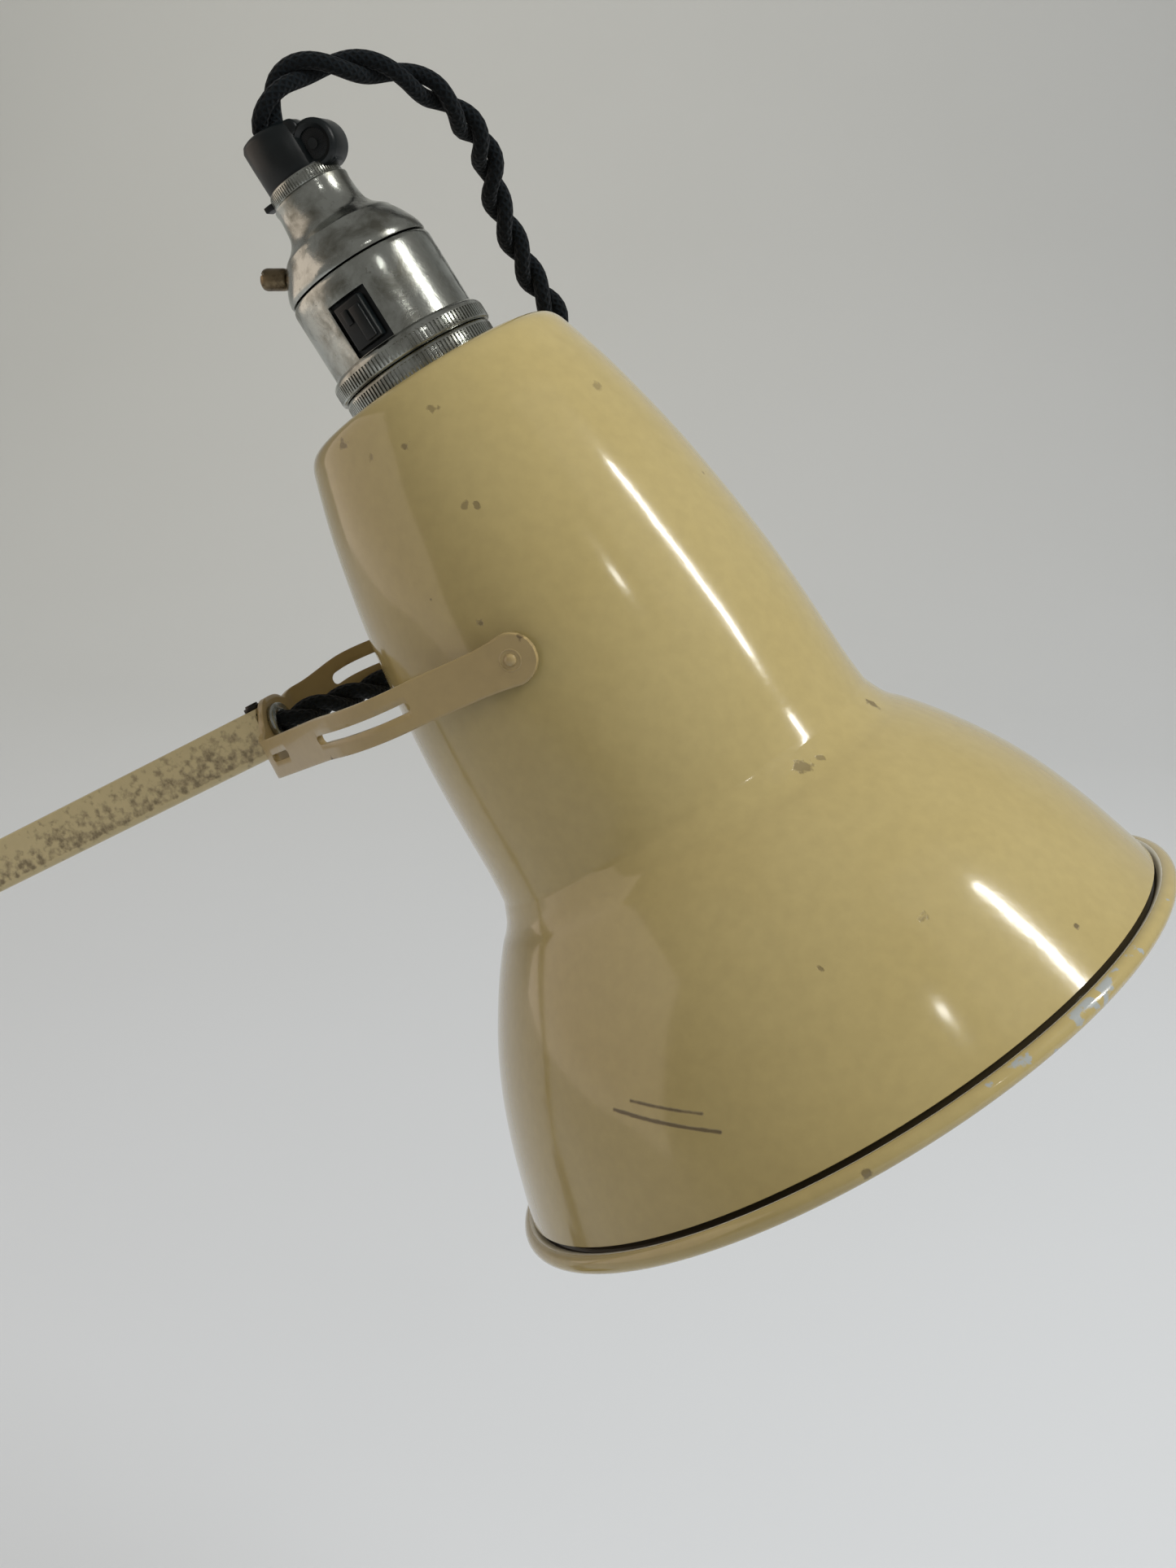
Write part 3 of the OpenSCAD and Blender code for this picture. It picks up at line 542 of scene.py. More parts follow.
def buildStage():
    clearSelection()
    bpy.ops.mesh.primitive_plane_add(size=8)
    floor = bpy.context.object
    floor.name = "floor"
    editing(True)
    bpy.ops.mesh.select_all(action="SELECT")
    bpy.ops.transform.translate(value=(0, -0.6, 0))
    bpy.ops.mesh.select_mode(type="EDGE")
    bpy.ops.mesh.select_all(action="DESELECT")
    editing(False)
    for edge in floor.data.edges:
        edge.select = all(floor.data.vertices[v].co.y > 3 for v in edge.vertices)
    editing(True)
    bpy.ops.mesh.extrude_region_move(TRANSFORM_OT_translate={"value": (0, 0, 3.5)})
    editing(False)
    useModifier(floor, "BEVEL", width=1.6, segments=24, limit_method="ANGLE")
    bpy.ops.object.shade_smooth()
    material, tree, shader = newMaterial("PaintedPlaster", Roughness=0.8)
    place = addNode(tree, "TexCoord").outputs["Object"]
    soft = addNode(tree, "TexNoise", {"Vector": place, "Scale": 1.4, "Detail": 3.0})
    tone = addNode(tree, "Mix", {0: soft.outputs["Fac"], 6: linear("#dadcdc"), 7: linear("#d4d6d5")},
                   data_type="RGBA")
    tree.links.new(tone.outputs[2], shader.inputs["Base Color"])
    floor.data.materials.append(material)
    world = bpy.data.worlds.new("World")
    bpy.context.scene.world = world
    world.use_nodes = True
    sky = world.node_tree.nodes["Background"]
    sky.inputs["Color"].default_value = linear("#e4e2dc")
    sky.inputs["Strength"].default_value = 0.3
    bpy.context.scene.view_settings.view_transform = "Standard"
    addLight("windowLight", 74, 50, 2.2, (1.3, 1.3), 46, "#f3f7ff", glossy=False)
    addLight("windowGap", 91, 41, 2.2, (0.055, 0.85), 13, "#fffdf8")
    addLight("smallPane", 40, 36, 2.0, (0.08, 0.07), 0.45, "#fffdf8")
    addLight("leftWall", -78, -4, 1.6, (2.0, 1.8), 9.5, "#f3ddca")
    addLight("frontFill", -15, 20, 2.4, (1.6, 1.6), 2.5, "#ffeeda", glossy=False)
    addLight("backFill", 180, 45, 2.2, (1.6, 1.2), 7, "#f4f5ff", glossy=False)
    addLight("wallWash", 0, 35, 2.0, (2.4, 1.0), 11, "#fbf3df", glossy=False, target=(-1.2, 3.3, 0.7))


buildCamera()
buildStage()
print("camera, lights and floor")

# Flex: two braided cores twisted round each other

flexShape = {"strand": 1.78, "offset": 1.6, "pitch": 19, "sides": 12, "step": 1.4}


def evenly(points, step):
    # the line again, with its points that far apart, all in mm
    along = [0.0]
    for a, b in zip(points, points[1:]):
        along.append(along[-1] + (b - a).length)
    count = max(2, round(along[-1] / step))
    line, i = [], 0
    for k in range(count + 1):
        at = along[-1] * k / count
        while i < len(points) - 2 and along[i + 1] < at:
            i += 1
        share = (at - along[i]) / max(along[i + 1] - along[i], 1e-9)
        line.append(points[i].lerp(points[i + 1], min(max(share, 0), 1)))
    return line


def twistedPair(name, route, shape, looseness=None, startTurn=0.0):
    # route is in mm; each core is a tube that winds round it, with a UV map in mm for the braid
    line = evenly([Vector(p) for p in route], shape["step"])
    last = len(line) - 1
    sides = shape["sides"]
    side = None
    verts, faces, uvs = [], [], []
    frames, turn = [], radians(startTurn)
    for i, here in enumerate(line):
        way = (line[min(i + 1, last)] - line[max(i - 1, 0)]).normalized()
        if side is None:
            side = way.orthogonal().normalized()
        side = (side - way * side.dot(way)).normalized()
        loose = looseness(i / last) if looseness else {}
        turn += 2 * pi * shape["step"] / shape["pitch"] * loose.get("twist", 1)
        frames.append((here, side, way.cross(side), turn, loose.get("gap", 0)))
    for core in (0, 1):
        centres = []
        for here, a, b, turn, gap in frames:
            angle = turn + pi * core
            centres.append(here + (shape["offset"] + gap) * (cos(angle) * a + sin(angle) * b))
        length, ringStart = 0.0, len(verts)
        for i, centre in enumerate(centres):
            way = (centres[min(i + 1, last)] - centres[max(i - 1, 0)]).normalized()
            u = (frames[i][1] - way * frames[i][1].dot(way)).normalized()
            v = way.cross(u)
            length += (centre - centres[i - 1]).length if i else 0
            for k in range(sides):
                t = 2 * pi * k / sides
                verts.append((centre + shape["strand"] * (cos(t) * u + sin(t) * v)) * mm)
            if i:
                for k in range(sides):
                    low, high = ringStart + (i - 1) * sides, ringStart + i * sides
                    faces.append((low + k, low + (k + 1) % sides, high + (k + 1) % sides, high + k))
                    round0, round1 = (shape["strand"] * 2 * pi * n / sides for n in (k, k + 1))
                    back = length - (centre - centres[i - 1]).length
                    uvs.append(((round0, back), (round1, back), (round1, length), (round0, length)))
        faces.append(tuple(ringStart + k for k in reversed(range(sides))))
        faces.append(tuple(ringStart + last * sides + k for k in range(sides)))
        uvs += [((0, 0),) * sides] * 2
    mesh = bpy.data.meshes.new(name)
    mesh.from_pydata(verts, [], faces)
    layer = mesh.uv_layers.new(name="length")
    layer.data.foreach_set("uv", [c for face in uvs for corner in face for c in corner])
    piece = bpy.data.objects.new(name, mesh)
    bpy.context.scene.collection.objects.link(piece)
    path = [p * mm for p in line]
    return piece, path


headRoute = [
    (231, 0, 480), (235, 2, 481.8), (239, 8, 482.8), (243.6, 15, 483.9), (247.5, 21.5, 485.5),
    (250.5, 27, 490), (254.5, 35, 497.5), (261, 45, 508), (269, 51.5, 521), (276, 53, 536), (281, 53, 551),
    (281.5, 50.5, 567), (277, 47, 576.5), (273, 42, 587), (271, 38, 595), (270.5, 33, 603.5),
    (267, 25, 611), (260, 17, 617), (251.5, 9, 619), (243.5, 3, 618.5), (238.5, 0, 616),
    (236, -1.8, 611), (235.3, -1.5, 606.5), (236.8, -1.3, 604.2)
]
elbowRoute = [
    (-49.4, 0, 290), (-43, 0, 292), (-36, 0, 294.5), (-28, 0, 299.5), (-22.5, 0, 307),
    (-21.5, 0, 315.5), (-24, 0, 323), (-27.6, 0, 329), (-30.5, 0, 333.5), (-32.5, 0, 337)
]
baseRoute = [
    (0, 0, 57), (0, 0, 60), (-2, 0, 66), (-7, 0, 73), (-14, 0, 81), (-19, 0, 91),
    (-22, 0, 101), (-21.5, 0, 110), (-18, 0, 116.6), (-13, 0, 119.2), (-9.5, 0, 120.4)
]
leadRoute = [
    (-73, 0, 8), (-80, 0, 7.6), (-88, 0, 5.6), (-96, 0, 3.6), (-104, 0, 2.7), (-114, -2, 2.6),
    (-124, -6, 2.6), (-136, -11.5, 2.6)
]
tailRoute = [
    (-180.4, 17, 13), (-180.2, 26, 12), (-179, 35, 10.6), (-176.5, 44, 9.8), (-173, 53, 9.8),
    (-170, 60, 10.5), (-169, 65, 11)
]
coilShape = {"middle": (-146, 17), "outer": 34.4, "middleTurn": 29.0, "inner": 23.6,
             "layers": (2.6, 7.8, 13.0), "points": 36, "start": -70, "turns": 8.3056}


def headLooseness(t):
    # the cores twist less near the cap, part a little before it, and are squeezed at the tube
    twist = 1.0 if t < 0.78 else 0.7
    gap = 0.5 * max(0.0, 1 - abs(t - 0.735) / 0.04) + 0.4 * max(0.0, 1 - abs(t - 0.80) / 0.03)
    squeezed = 0.5 * max(0.0, 1 - t / 0.05)
    return {"twist": twist, "gap": gap - squeezed}


def narrowEnds(t):
    # the pair is squeezed where it enters its holes
    return {"gap": -0.55 * max(0.0, 1 - min(t, 1 - t) / 0.15)}


def coilTurns():
    # in along the bottom, up the inside, down the middle turns and up the outside, so that the
    # flex leaves from the outer top turn
    x0, y0 = coilShape["middle"]
    outer, centre, inner = coilShape["outer"], coilShape["middleTurn"], coilShape["inner"]
    low, middle, high = coilShape["layers"]
    order = [(outer, low), (centre, low), (inner, low), (inner, middle), (inner, high), (centre, high),
             (centre, middle), (outer, middle), (outer, high)]
    count = coilShape["points"]
    points = []
    for k in range(round(coilShape["turns"] * count) + 1):
        turn, share = divmod(k, count)
        now, after = order[turn], order[min(turn + 1, len(order) - 1)]
        soft = max(0.0, (share / count - 0.72) / 0.28)
        soft = soft * soft * (3 - 2 * soft)
        r = now[0] + (after[0] - now[0]) * soft
        angle = radians(coilShape["start"]) - 2 * pi * k / count
        points.append((x0 + r * cos(angle), y0 + r * sin(angle), now[1] + (after[1] - now[1]) * soft))
    return points


def buildFlex():
    head, headPath = twistedPair("flex_head_pair", smoothLine(headRoute, 8), flexShape, headLooseness, 40)
    settle(head, standPlace, ["flex_head"], rides=False)
    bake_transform(head)
    for node, route, ends in (("flex_elbow", elbowRoute, ("lower_arm", "upper_arm")),
                              ("flex_base", baseRoute, ("bracket", "lower_arm"))):
        piece, path = twistedPair(node + "_pair", smoothLine(route, 6), flexShape, narrowEnds)
        settle(piece, standPlace, [node], rides=False)
        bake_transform(piece)
    print("short flexes")


def buildLead():
    turns = coilTurns()
    route = smoothLine(leadRoute[:-1] + turns + tailRoute[1:], 3)
    cores = dict(flexShape, strand=1.38, offset=1.2, sides=8, step=2.6)
    lead, path = twistedPair("mains_lead_pair", route, cores)
    settle(lead, standPlace, ["mains_lead", "mains_coil"])
    length = sum((b - a).length for a, b in zip(path, path[1:]))
    print("mains lead", round(length, 3), "m")
    return lead, path, length


buildFlex()
lead, leadPath, leadLength = buildLead()


# Shade: spun from one disc, with a tight waist crease and a rolled rim

shadeShape = {
    "hole": 13.3, "wall": 1.0, "plate": (3.8, 5.0), "steps": 144,
    "cone": [(25.6, -3.8), (27.6, -4.1), (29.2, -5), (30.4, -6.7), (31.3, -9.2), (32.4, -12.6), (34.6, -20),
             (37, -30), (39.1, -40), (40.7, -50), (42.1, -60), (43.2, -70), (43.9, -80), (44.3, -90),
             (44.6, -98), (45.2, -104.2)],
    "bell": [(45.2, -104.2), (46.9, -108), (48.5, -110.3), (51.1, -113), (56.5, -120), (63, -130),
             (68.1, -140), (72, -150), (75.2, -160), (76.8, -165.5)],
    "groove": [(76.5, -165.7), (75.6, -165.9), (75.1, -166.5), (75.1, -167.3), (75.6, -167.7)],
    "beadMiddle": (78, -168.5), "bead": 2.0
}


def buildShade():
    shape = shadeShape
    outer = smoothLine(shape["cone"], 4)[:-1] + smoothLine(shape["bell"], 5)
    bead = arcPoints(shape["beadMiddle"], shape["bead"], 140, -190, 20)
    inner = [(r - shape["wall"], z) for r, z in reversed(outer) if -161 < z < -5.3]
    top, under = shape["plate"]
    plate = [(26, -under), (shape["hole"], -under)]
    outline = ([(shape["hole"], -top)] + outer + shape["groove"] + bead
               + [(74.5, -168.3), (74.1, -167.4), (74.1, -165.5)] + inner + plate)
    shade = lathe("shade_spun", outline, shape["steps"])
    shade.data.materials.append(shadeEnamel)
    shade.data.materials.append(reflectorEnamel)
    shade.data.materials.append(grooveShadeAndGrimeEnamel)
    for face in shade.data.polygons:
        x, y, z = face.center
        inward = face.normal.x * x + face.normal.y * y < -0.15 * hypot(x, y)
        underPlate = face.normal.z < -0.9 and z > -5.6 * mm
        face.material_index = 1 if inward or underPlate else 0
        # the groove above the rim gets the dark material: painted shade in the crease, with grime
        if 74.8 < hypot(x, y) / mm < 76.3 and -168.2 < z / mm < -165.9:
            face.material_index = 2
    settle(shade, headPlace, ["shade"], smooth=40)


# Lampholder: knurled bands, switched body, domed shell and neck

holderShape = {"teeth": 120, "depth": 0.3, "bodySteps": 112, "windowColumns": 10, "window": (9.05, 19.8),
               "sheet": 1.2, "neck": 42, "drop": 3.8}


def lowered(z):
    # the holder is drawn out towards the shade, and nothing above its neck moves
    return z - holderShape["drop"] * max(0.0, 1 - z / holderShape["neck"])


def stretched(piece):
    for vert in piece.data.vertices:
        vert.co.z = lowered(vert.co.z / mm) * mm
    return piece


def buildHolder():
    shape = holderShape
    steps = 2 * shape["teeth"]
    lower = lathe("lower_band_knurled", [(13.05, 0), (16.2, 0), (17.1, 0.5), (17.4, 1.1), (17.4, 3.7),
                                         (17.3, 4.1), (17.1, 4.4), (14.4, 4.4), (14.4, 4.2), (13.05, 4.2)],
                  steps)
    knurl(lower, 1.1, 3.6, shape["teeth"], shape["depth"])
    settle(stretched(lower), headPlace, ["lower_band"])
    upper = lathe("upper_band_knurled", [(13.05, 4.6), (17.3, 4.6), (17.75, 4.8), (17.9, 5.1), (17.9, 7.5),
                                         (17.8, 8.0), (17.4, 8.5), (16.8, 8.9), (13.05, 8.9)], steps)
    knurl(upper, 5.3, 7.5, shape["teeth"], shape["depth"])
    settle(stretched(upper), headPlace, ["upper_band"])
    low, high = shape["window"]
    body = lathe("holder_body_windowed", [(16.4, 8.9), (16.4, low), (16.4, 12.6), (16.4, 16.2),
                                          (16.4, high), (16.4, 22), (16.4, 23.6), (16.25, 24.2),
                                          (15.9, 24.6), (15.3, 24.75)], shape["bodySteps"], closed=False)
    reach = pi * shape["windowColumns"] / shape["bodySteps"]
    selectFaces(body, lambda face: low < face.center.z / mm < high
                and abs(atan2(face.center.y, face.center.x) + pi / 2) < reach)
    bpy.ops.mesh.delete(type="FACE")
    editing(False)
    if sum(face.normal.x * face.center.x + face.normal.y * face.center.y for face in body.data.polygons) < 0:
        body.data.flip_normals()
    useModifier(body, "SOLIDIFY", thickness=shape["sheet"] * mm, offset=-1)
    roundEdges(body, 0.22, 2, 50)
    settle(stretched(body), headPlace, ["holder_body"])
    plate = block("switch_back", (9.8, 0.8, 12.6), (0, -14.3, lowered(14.4)), 0.1)
    settle(plate, headPlace, ["switch_plate"])
    dome = lathe("holder_dome_rolled", [(15.2, 24.85), (16.0, 25.0), (16.15, 25.5), (15.95, 26.6),
                                        (15.45, 27.8), (14.8, 29), (14.1, 30.2), (13.4, 31.2),
                                        (12.95, 31.75), (12.75, 32.2), (12.3, 32.65), (11.5, 33.2),
                                        (10.6, 33.9), (9.8, 34.7), (9.2, 35.6), (8.85, 36.6), (8.6, 38.5),
                                        (8.45, 40.6), (8.6, 41.4), (8.6, 41.9), (8.2, 42.15), (7.3, 42),
                                        (7.6, 36), (11.6, 31.3), (13.8, 27.6), (14.4, 24.85)], 96)
    settle(stretched(dome), headPlace, ["holder_dome"], smooth=50)
    ring = lathe("neck_ring_knurled", [(5.2, 42.2), (7.9, 42.2), (8.1, 42.5), (8.1, 44.6), (7.9, 45),
                                       (5.2, 45)], 160)
    knurl(ring, 42.5, 44.6, 80, 0.2)
    settle(ring, headPlace, ["neck_ring"])


capShape = {"radius": 7.05, "shift": -0.65, "foot": 45.1, "top": 57, "slope": 0.085, "ear": (7.3, 48.5),
            "earRadius": 4.9}


def buildCordCap():
    # a moulded grip with a straight barrel, a small roll and a big clamp ear towards +X
    shape = capShape
    top, foot, r = shape["top"], shape["foot"], shape["radius"]
    barrel = lathe("cord_cap_grip", [(0, foot), (r - 0.3, foot), (r, foot + 0.5), (r + 0.05, top - 5),
                                     (r, top - 1.5), (r - 0.5, top - 0.5), (r - 1.4, top), (4.9, top),
                                     (4.5, top - 0.4), (4.4, top - 3), (0, top - 3)], 64)
    turned(barrel, Matrix.Translation(Vector((shape["shift"], 0, 0)) * mm))
    for vert in barrel.data.vertices:
        if vert.co.z > (top - 4) * mm:
            vert.co.z -= shape["slope"] * (vert.co.x + 7.7 * mm)
    x, z = shape["ear"]
    clearSelection()
    bpy.ops.mesh.primitive_cylinder_add(vertices=40, radius=shape["earRadius"] * mm, depth=8.6 * mm)
    ear = bpy.context.object
    roundEdges(ear, 1.5, 5)
    selectFaces(ear, lambda face: face.normal.z > 0.98)
    bpy.ops.mesh.inset(thickness=0.7 * mm, depth=-0.9 * mm)
    bpy.ops.mesh.inset(thickness=1.0 * mm, depth=0.35 * mm)
    editing(False)
    turned(ear, Matrix.Translation(Vector((x, -0.3, z)) * mm) @ Matrix.Rotation(radians(90), 4, "X")
           @ Matrix.Diagonal((1, 1.06, 1, 1)))
    clearSelection()
    bpy.ops.mesh.primitive_cylinder_add(vertices=28, radius=1.9 * mm, depth=8.8 * mm)
    roll = bpy.context.object
    roundEdges(roll, 0.8, 3)
    turned(roll, Matrix.Translation(Vector((4.7, -0.2, 53.7)) * mm) @ Matrix.Rotation(radians(90), 4, "X"))
    tabs = [block("tab", (2.2, 3.4, 1.3), (side * 8.6, -1.4, 43.9), 0.3) for side in (-1, 1)]
    neck = lathe("neck", [(5.1, 43.2), (7.5, 43.2), (7.5, foot + 0.2), (5.1, foot + 0.2)], 48)
    cap = joined("cord_cap_grip", [barrel, ear, roll, neck] + tabs)
    settle(cap, headPlace, ["cord_cap"], smooth=40)


screwShape = {"place": (-14.3, 0, 30.7), "lean": -57, "slot": (0.8, 8, 1.6)}


def buildEarthScrew():
    # a cheese-head screw in the dome's side
    screw = lathe("earth_screw_slotted", [(0, -2), (1.35, -2), (1.35, 0.1), (1.9, 0.25), (2.25, 0.7),
                                          (2.35, 1.3), (2.35, 4.9), (2.15, 5.5), (1.7, 5.85), (0, 5.95)],
                  40)
    slot = block("slot", screwShape["slot"], (0, 0, 5.6))
    useModifier(screw, "BOOLEAN", object=slot, operation="DIFFERENCE", solver="EXACT")
    bpy.data.objects.remove(slot)
    place = (Matrix.Translation(Vector(screwShape["place"]) * mm)
             @ Matrix.Rotation(radians(screwShape["lean"]), 4, "Y"))
    settle(screw, headPlace @ place @ Matrix.Rotation(radians(35), 4, "Z"), ["earth_screw"])


def buildSwitch():
    place = (headPlace @ Matrix.Translation(Vector((0, -15.4, lowered(14.4))) * mm)
             @ Matrix.Rotation(radians(-8), 4, "Z"))
    pad = block("rocker_pad", (6.6, 2.4, 9.6), (0, -0.6, 0), 0.4)
    ridge = block("ridge", (2.6, 1.1, 7.4), (1.4, -2.05, -0.6), 0.3)
    step = block("step", (1.5, 0.7, 3.2), (-1.3, -1.9, 1.9), 0.25)
    settle(joined("rocker_pad", [pad, ridge, step]), place, ["switch_rocker"])


# Fork: one slotted steel strap bent round the tube's end, riveted to the shade

forkShape = {
    "half": 4.5, "sheet": 1.4, "ear": 5.2, "web": 8.65, "step": 1.1,
    "nearSlots": [(24, 48.6, 1.0), (64.5, 71, 0.9)], "farSlots": [(24, 66, 1.35)],
    "arms": 44.7, "curve": ((-28, 19.7), 25.0), "corner": ((-69.2, 8.2), 6.0), "bend": 42,
    "near": [(0, 5.65), (13, 1.7), (45, 1.8), (74, 0.6), (97, 0), (110, 0)],
    "far": [(0, 5.65), (13, 9.2), (27, 10.9), (92, 0), (110, 0)]
}


def valueAlong(knots, at):
    for (u0, h0), (u1, h1) in zip(knots, knots[1:]):
        if at <= u1:
            t = max(0.0, (at - u0) / (u1 - u0))
            return h0 + (h1 - h0) * t * t * (3 - 2 * t)
    return knots[-1][1]


def forkPlan():
    # half of the strap's plan from the web's middle to the ear's tip, as (length so far, x, y)
    shape = forkShape
    (cx, cy), r = shape["curve"]
    (kx, ky), q = shape["corner"]
    bend = shape["bend"]
    corner = [(kx - q * sin(radians(a)), ky + q * cos(radians(a))) for a in range(90, bend - 1, -6)]
    curve = [(cx - r * sin(radians(a)), cy + r * cos(radians(a))) for a in range(bend, -1, -3)]
    points = [(kx - q, 0)] + corner + curve + [(0, shape["arms"]), (shape["ear"], shape["arms"])]
    plan, total = [(0.0,) + points[0]], 0.0
    for a, b in zip(points, points[1:]):
        total += hypot(b[0] - a[0], b[1] - a[1])
        plan.append((total,) + b)
    return plan


def buildFork():
    shape = forkShape
    plan = forkPlan()
    total = plan[-1][0]
    earAt = total - shape["ear"]

    def planAt(u):
        for (u0, x0, y0), (u1, x1, y1) in zip(plan, plan[1:]):
            if u <= u1 + 1e-9:
                t = (u - u0) / (u1 - u0)
                return x0 + (x1 - x0) * t, y0 + (y1 - y0) * t
        return plan[-1][1:]

    def measured(slots):
        # each slot's two ends as lengths along the strap, and half its width
        lengths = [k * 0.1 for k in range(int(total * 10))]
        return [(next(u for u in lengths if planAt(u)[0] > -back),
                 next(u for u in lengths if planAt(u)[0] > -front), half)
                for front, back, half in slots]

    def stopsFor(slots):
        ends = []
        for inner, outer, half in slots:
            ends += [inner - half * cos(radians(a)) for a in range(0, 91, 18)]
            ends += [outer + half * sin(radians(a)) for a in range(0, 91, 18)]
        plain = [k * shape["step"] for k in range(1, int(earAt / shape["step"]))]
        plain = [u for u in plain if all(abs(u - end) > 0.35 for end in ends)]
        ear = [earAt + shape["ear"] * sin(radians(a)) for a in range(0, 90, 9)] + [total - 0.005]
        return sorted(plain + ends) + ear

    near, far = measured(shape["nearSlots"]), measured(shape["farSlots"])
    columns = [-u for u in reversed(stopsFor(near))] + [0.0] + stopsFor(far)

    def halfWidth(u):
        if u < shape["web"]:
            return max(shape["half"], sqrt(shape["web"] ** 2 - u * u))
        if u > earAt:
            return max(0.05, sqrt(max(0.0, shape["ear"] ** 2 - (u - earAt) ** 2)))
        rise = max(0.0, min(1.0, (u - earAt + 9) / 9))
        return shape["half"] + (shape["ear"] - shape["half"]) * rise ** 2

    def slotHalf(u):
        for inner, outer, half in (near if u < 0 else far):
            off = max(inner - abs(u), abs(u) - outer, 0.0)
            if off <= half:
                return sqrt(max(0.0, half * half - off * off))
        return None

    clearSelection()
    bpy.ops.mesh.primitive_grid_add(x_subdivisions=len(columns) - 1, y_subdivisions=7, size=1)
    strap = bpy.context.object
    strap.name = "fork_strap_bent"
    rows = 8
    order = sorted(range(len(strap.data.vertices)), key=lambda n: (round(strap.data.vertices[n].co.x, 5),
                                                                   strap.data.vertices[n].co.y))
    slotRow = {}
    for place, n in enumerate(order):
        column, row = divmod(place, rows)
        u = columns[column]
        knots = shape["near"] if u < 0 else shape["far"]
        x, y = planAt(abs(u))
        half = halfWidth(abs(u))
        cut = slotHalf(u)
        gap = min(0.45 * half, 1.0 if cut is None else max(cut, 0.01))
        levels = (gap, gap + (half - gap) * 0.4, gap + (half - gap) * 0.85, half)
        aside = levels[row - 4] if row > 3 else -levels[3 - row]
        z = valueAlong(knots, abs(u)) + aside
        strap.data.vertices[n].co = Vector((x, y if u >= 0 else -y, z)) * mm
        slotRow[n] = cut is not None and row in (3, 4)
    selectFaces(strap, lambda face: all(slotRow[v] for v in face.vertices))
    bpy.ops.mesh.delete(type="FACE")
    bpy.ops.mesh.select_all(action="SELECT")
    bpy.ops.mesh.remove_doubles(threshold=0.03 * mm)
    bpy.ops.mesh.normals_make_consistent(inside=False)
    editing(False)
    useModifier(strap, "SOLIDIFY", thickness=shape["sheet"] * mm, offset=0)
    bore = lathe("bore", [(0, -3), (4.0, -3), (4.0, 3), (0, 3)], 40)
    turned(bore, Matrix.Translation(Vector((-75.2, 0, 7.3)) * mm) @ Matrix.Rotation(radians(90), 4, "Y"))
    useModifier(strap, "BOOLEAN", object=bore, operation="DIFFERENCE", solver="EXACT")
    bpy.data.objects.remove(bore)
    roundEdges(strap, 0.25, 2, 50)
    settle(strap, forkPlace, ["fork_strap"], forkEnamel, smooth=50)
    pins = []
    for side in (-1, 1):
        pin = lathe("pin", [(0, 0.62), (0.6, 0.56), (1.05, 0.34), (1.3, 0), (1.34, -0.25), (1.85, -0.25),
                            (1.95, 0.06), (2.15, 0.1), (2.3, 0), (2.3, -0.6), (1.45, -0.6), (1.45, -5),
                            (3, -5), (3, -6.6), (2.6, -6.9), (0, -6.9)], 40)
        pins.append(turned(pin, Matrix.Translation(Vector((0, side * 45.4, 0)) * mm)
                           @ Matrix.Rotation(radians(-90 * side), 4, "X")))
    settle(joined("pivot_rivets", pins), forkPlace, ["pivot_pins"], forkEnamel)


# Springs: close-coiled steel wire with a hook at each end

springShape = {"mean": 4.5, "wire": 1.0, "pitch": 2.04, "coilFoot": 30, "coilHead": 130, "anchor": 14,
               "eye": 3.3, "top": 185}


def buildSpring(name, y, foot, node):
    shape = springShape
    low, high = foot + shape["coilFoot"], shape["coilHead"]
    turns = int((high - low) / shape["pitch"])
    mean, x0 = shape["mean"], shape["anchor"]
    points = [(x0 + shape["eye"] * sin(radians(a)), y, foot - shape["eye"] * cos(radians(a)))
              for a in range(-165, 166, 22)]
    points += [(x0, y, foot + 6), (x0, y, low - 6), (x0 + 1, y, low - 2.5), (x0 + 3, y, low - 1)]
    for k in range(turns * 16 + 1):
        a = 2 * pi * k / 16
        points.append((x0 + mean * cos(a), y + mean * sin(a), low + shape["pitch"] * k / 16))
    points += [(x0 + 3, y, high + 1), (x0 + 1, y, high + 3), (x0, y, high + 7), (x0, y, shape["top"] - 6)]
    points += [(x0 + shape["eye"] * sin(radians(a)), y, shape["top"] - shape["eye"] * cos(radians(a)))
               for a in range(15, 346, 22)]
    curve = bpy.data.curves.new(name, "CURVE")
    curve.dimensions, curve.bevel_depth, curve.bevel_resolution = "3D", shape["wire"] * mm, 2
    curve.use_fill_caps = True
    spline = curve.splines.new("POLY")
    spline.points.add(len(points) - 1)
    for point, co in zip(spline.points, points):
        point.co = (*[c * mm for c in co], 1)
    wire = bpy.data.objects.new(name, curve)
    bpy.context.scene.collection.objects.link(wire)
    pick(wire)
    bpy.ops.object.convert(target="MESH")
    spring = bpy.context.object
    spring.name = name
    settle(spring, lowerPlace, [node], smooth=60, rides=False)
    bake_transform(spring)


def buildSprings():
    buildSpring("outer_spring_left_wire", -14, 0, "outer_spring_left")
    buildSpring("outer_spring_right_wire", 14, 0, "outer_spring_right")
    buildSpring("middle_spring_wire", 0, 2.4, "middle_spring")


# Thumb nuts, bulb and plug

nutOutline = [(3.05, 0), (4.9, 0), (5, 0.2), (5, 2.2), (6.8, 2.5), (7.7, 2.9), (8, 3.5), (8, 7.1),
              (7.7, 7.7), (6.9, 8), (4.2, 8), (3.8, 7.6), (3.05, 7.5)]


def buildNut(name, node, place, seat):
    nut = lathe(name, nutOutline, 96)
    knurl(nut, 3.5, 7.1, 48, 0.4)
    seated = place @ Matrix.Translation(Vector((0, seat, 0)) * mm) @ Matrix.Rotation(radians(-90), 4, "X")
    settle(nut, seated, [node])


bulbShape = {
    "glass": [(10.4, -24), (10.6, -29), (11.6, -35), (14.2, -41), (18.2, -48), (22.6, -54.5)],
    "middle": (0, -74), "radius": 30, "wall": 1.0
}


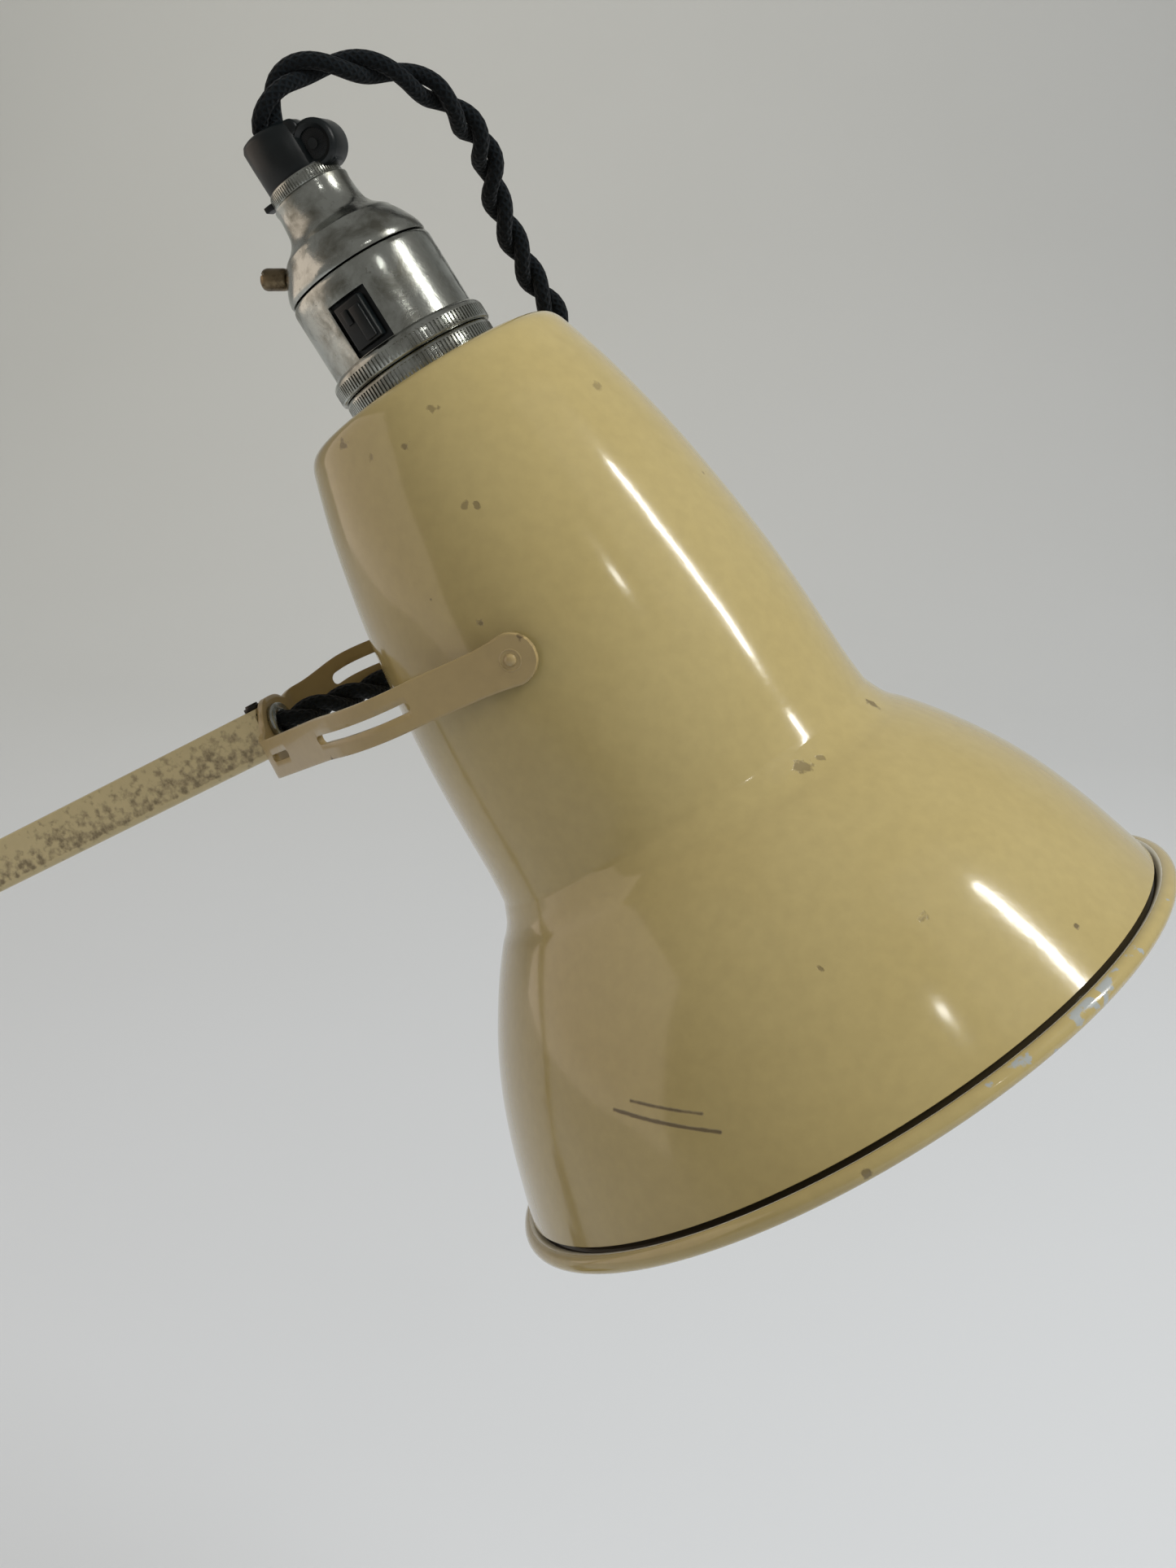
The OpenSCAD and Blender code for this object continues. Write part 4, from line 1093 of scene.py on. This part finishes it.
def buildBulb():
    shape = bulbShape
    neck = smoothLine(shape["glass"], 4)
    crown = arcPoints(shape["middle"], shape["radius"], 38, -90, 30)
    outer = neck + crown
    inner = [(max(r - shape["wall"], 0), z + (shape["wall"] if z < -100 else 0))
             for r, z in reversed(outer)]
    settle(lathe("bulb_envelope", outer + inner, 72), headPlace, ["bulb_glass"], smooth=60)
    cap = lathe("bulb_bayonet_cap", [(0, -1.9), (8.2, -1.9), (9.2, -2.4), (10.6, -2.6), (11, -3.1),
                                     (11, -19), (11.4, -20), (11.4, -21.4), (10.8, -22), (10.8, -24.6),
                                     (10.1, -24.6), (10.1, -4), (0, -4)], 72)
    pins = [turned(lathe("pin", [(0, -1.6), (1.05, -1.6), (1.05, 1.3), (0.8, 1.6), (0, 1.6)], 20),
                   Matrix.Translation(Vector((0, side * 12, -12)) * mm)
                   @ Matrix.Rotation(radians(-90 * side), 4, "X"))
            for side in (-1, 1)]
    settle(joined("bulb_bayonet_cap", [cap] + pins), headPlace, ["bulb_cap"])


plugShape = {"place": (-169, 63, 0), "middle": 20, "grips": 30}


def buildPlug():
    body = lathe("plug_cover", [(0, 0), (17.2, 0), (18.5, 0.6), (19, 1.8), (19, 4), (18.4, 4.6),
                                (18.4, 15.4), (19, 16), (19, 18.4), (18.3, 20.4), (16.8, 21.6), (14.5, 22),
                                (4.4, 22), (4.0, 21.5), (2.7, 21.4), (0, 21.4)], 2 * plugShape["grips"])
    knurl(body, 4.6, 15.4, plugShape["grips"], 0.7)
    turned(body, Matrix.Translation(Vector((0, plugShape["middle"], 0)) * mm))
    entry = block("entry", (16, 13, 16), (0, 6.5, 11), 2.4, 4)
    collar = turned(lathe("collar", [(2.9, -2), (5.2, -2), (5.8, -1.4), (5.8, 1.5), (2.9, 1.5)], 40),
                    Matrix.Translation(Vector((0, 0, 11)) * mm) @ Matrix.Rotation(radians(90), 4, "X"))
    place = Matrix.Translation(Vector(plugShape["place"]) * mm)
    settle(joined("plug_cover", [body, entry, collar]), place, ["plug_body"])


# The rest keep their shapes: each is copied, its loose triangles are merged and its edges rounded

edgeRadius = {"base_casting": 1.8, "base_collar": 1.6, "base_felt": 0.6, "bracket": 0.7, "plug_pins": 0.7,
              "lower_pivot_bolt": 0.8, "elbow_bolt": 0.8, "thrust_washer": 0.25, "bush_screw": 0.2}
tubes = {"upper_tube": (1.7, Vector((1, 0, 0)), upperPlace),
         "lower_tube": (1.7, Vector((0, 0, 1)), lowerPlace)}


def roundTube(piece, radius, along, place):
    # only the four long outer edges, which a drawn tube has well rounded
    way = (place.to_3x3() @ along).normalized()
    pick(piece)
    editing(True)
    bpy.ops.mesh.select_mode(type="EDGE")
    bpy.ops.mesh.select_all(action="DESELECT")
    editing(False)
    back = place.inverted()
    for edge in piece.data.edges:
        a, b = (piece.data.vertices[v].co for v in edge.vertices)
        local = (back @ ((a + b) / 2)) / mm
        beside = max(abs(local[k]) for k in range(3) if not along[k])
        other = min(abs(local[k]) for k in range(3) if not along[k])
        edge.select = abs((b - a).normalized().dot(way)) > 0.999 and beside > 5.5 and other > 5.5
    editing(True)
    bpy.ops.mesh.bevel(offset=radius * mm, segments=5)
    editing(False)


def softenedCopy(node):
    pick(frame["nodes"][node])
    bpy.ops.object.duplicate()
    piece = bpy.context.object
    piece.name = node + "_finished"
    piece.parent = None
    for key in [key for key in piece.keys() if key.startswith("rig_")]:
        del piece[key]
    piece.data.materials.clear()
    editing(True)
    bpy.ops.mesh.select_mode(type="VERT")
    bpy.ops.mesh.select_all(action="SELECT")
    bpy.ops.mesh.remove_doubles(threshold=0.002 * mm)
    bpy.ops.mesh.dissolve_limited(angle_limit=radians(1.5))
    editing(False)
    if node == "shade_ring":
        # it clamps the holder, so it comes down with the holder's lower end
        down = headPlace.col[2].to_3d().normalized() * -holderShape["drop"] * mm
        piece.data.transform(Matrix.Translation(down))
    if node in tubes:
        roundTube(piece, *tubes[node])
    roundEdges(piece, edgeRadius.get(node, 0.3), 3 if edgeRadius.get(node, 0) > 1 else 2)
    return piece


def buildTheRest():
    # the flex in the two tubes is never seen, and stays as the frame has it
    left = [node for node in frame["nodes"]
            if not frame["nodes"][node].hide_render and node not in ("flex_in_upper", "flex_in_lower")]
    for node in left:
        settle(softenedCopy(node), standPlace, [node])
    print("finished copies:", len(left))


buildShade()
buildHolder()
buildCordCap()
buildEarthScrew()
buildSwitch()
print("head")
buildFork()
buildSprings()
buildNut("lower_thumb_nut", "lower_pivot_nut", lowerPlace, 23)
buildNut("elbow_thumb_nut", "elbow_nut", placing(pivotOf("elbow"), lowerPlace.col[0].to_3d(), lowerUp), 8)
buildBulb()
buildPlug()
print("fork, springs, nuts, bulb and plug")
buildTheRest()
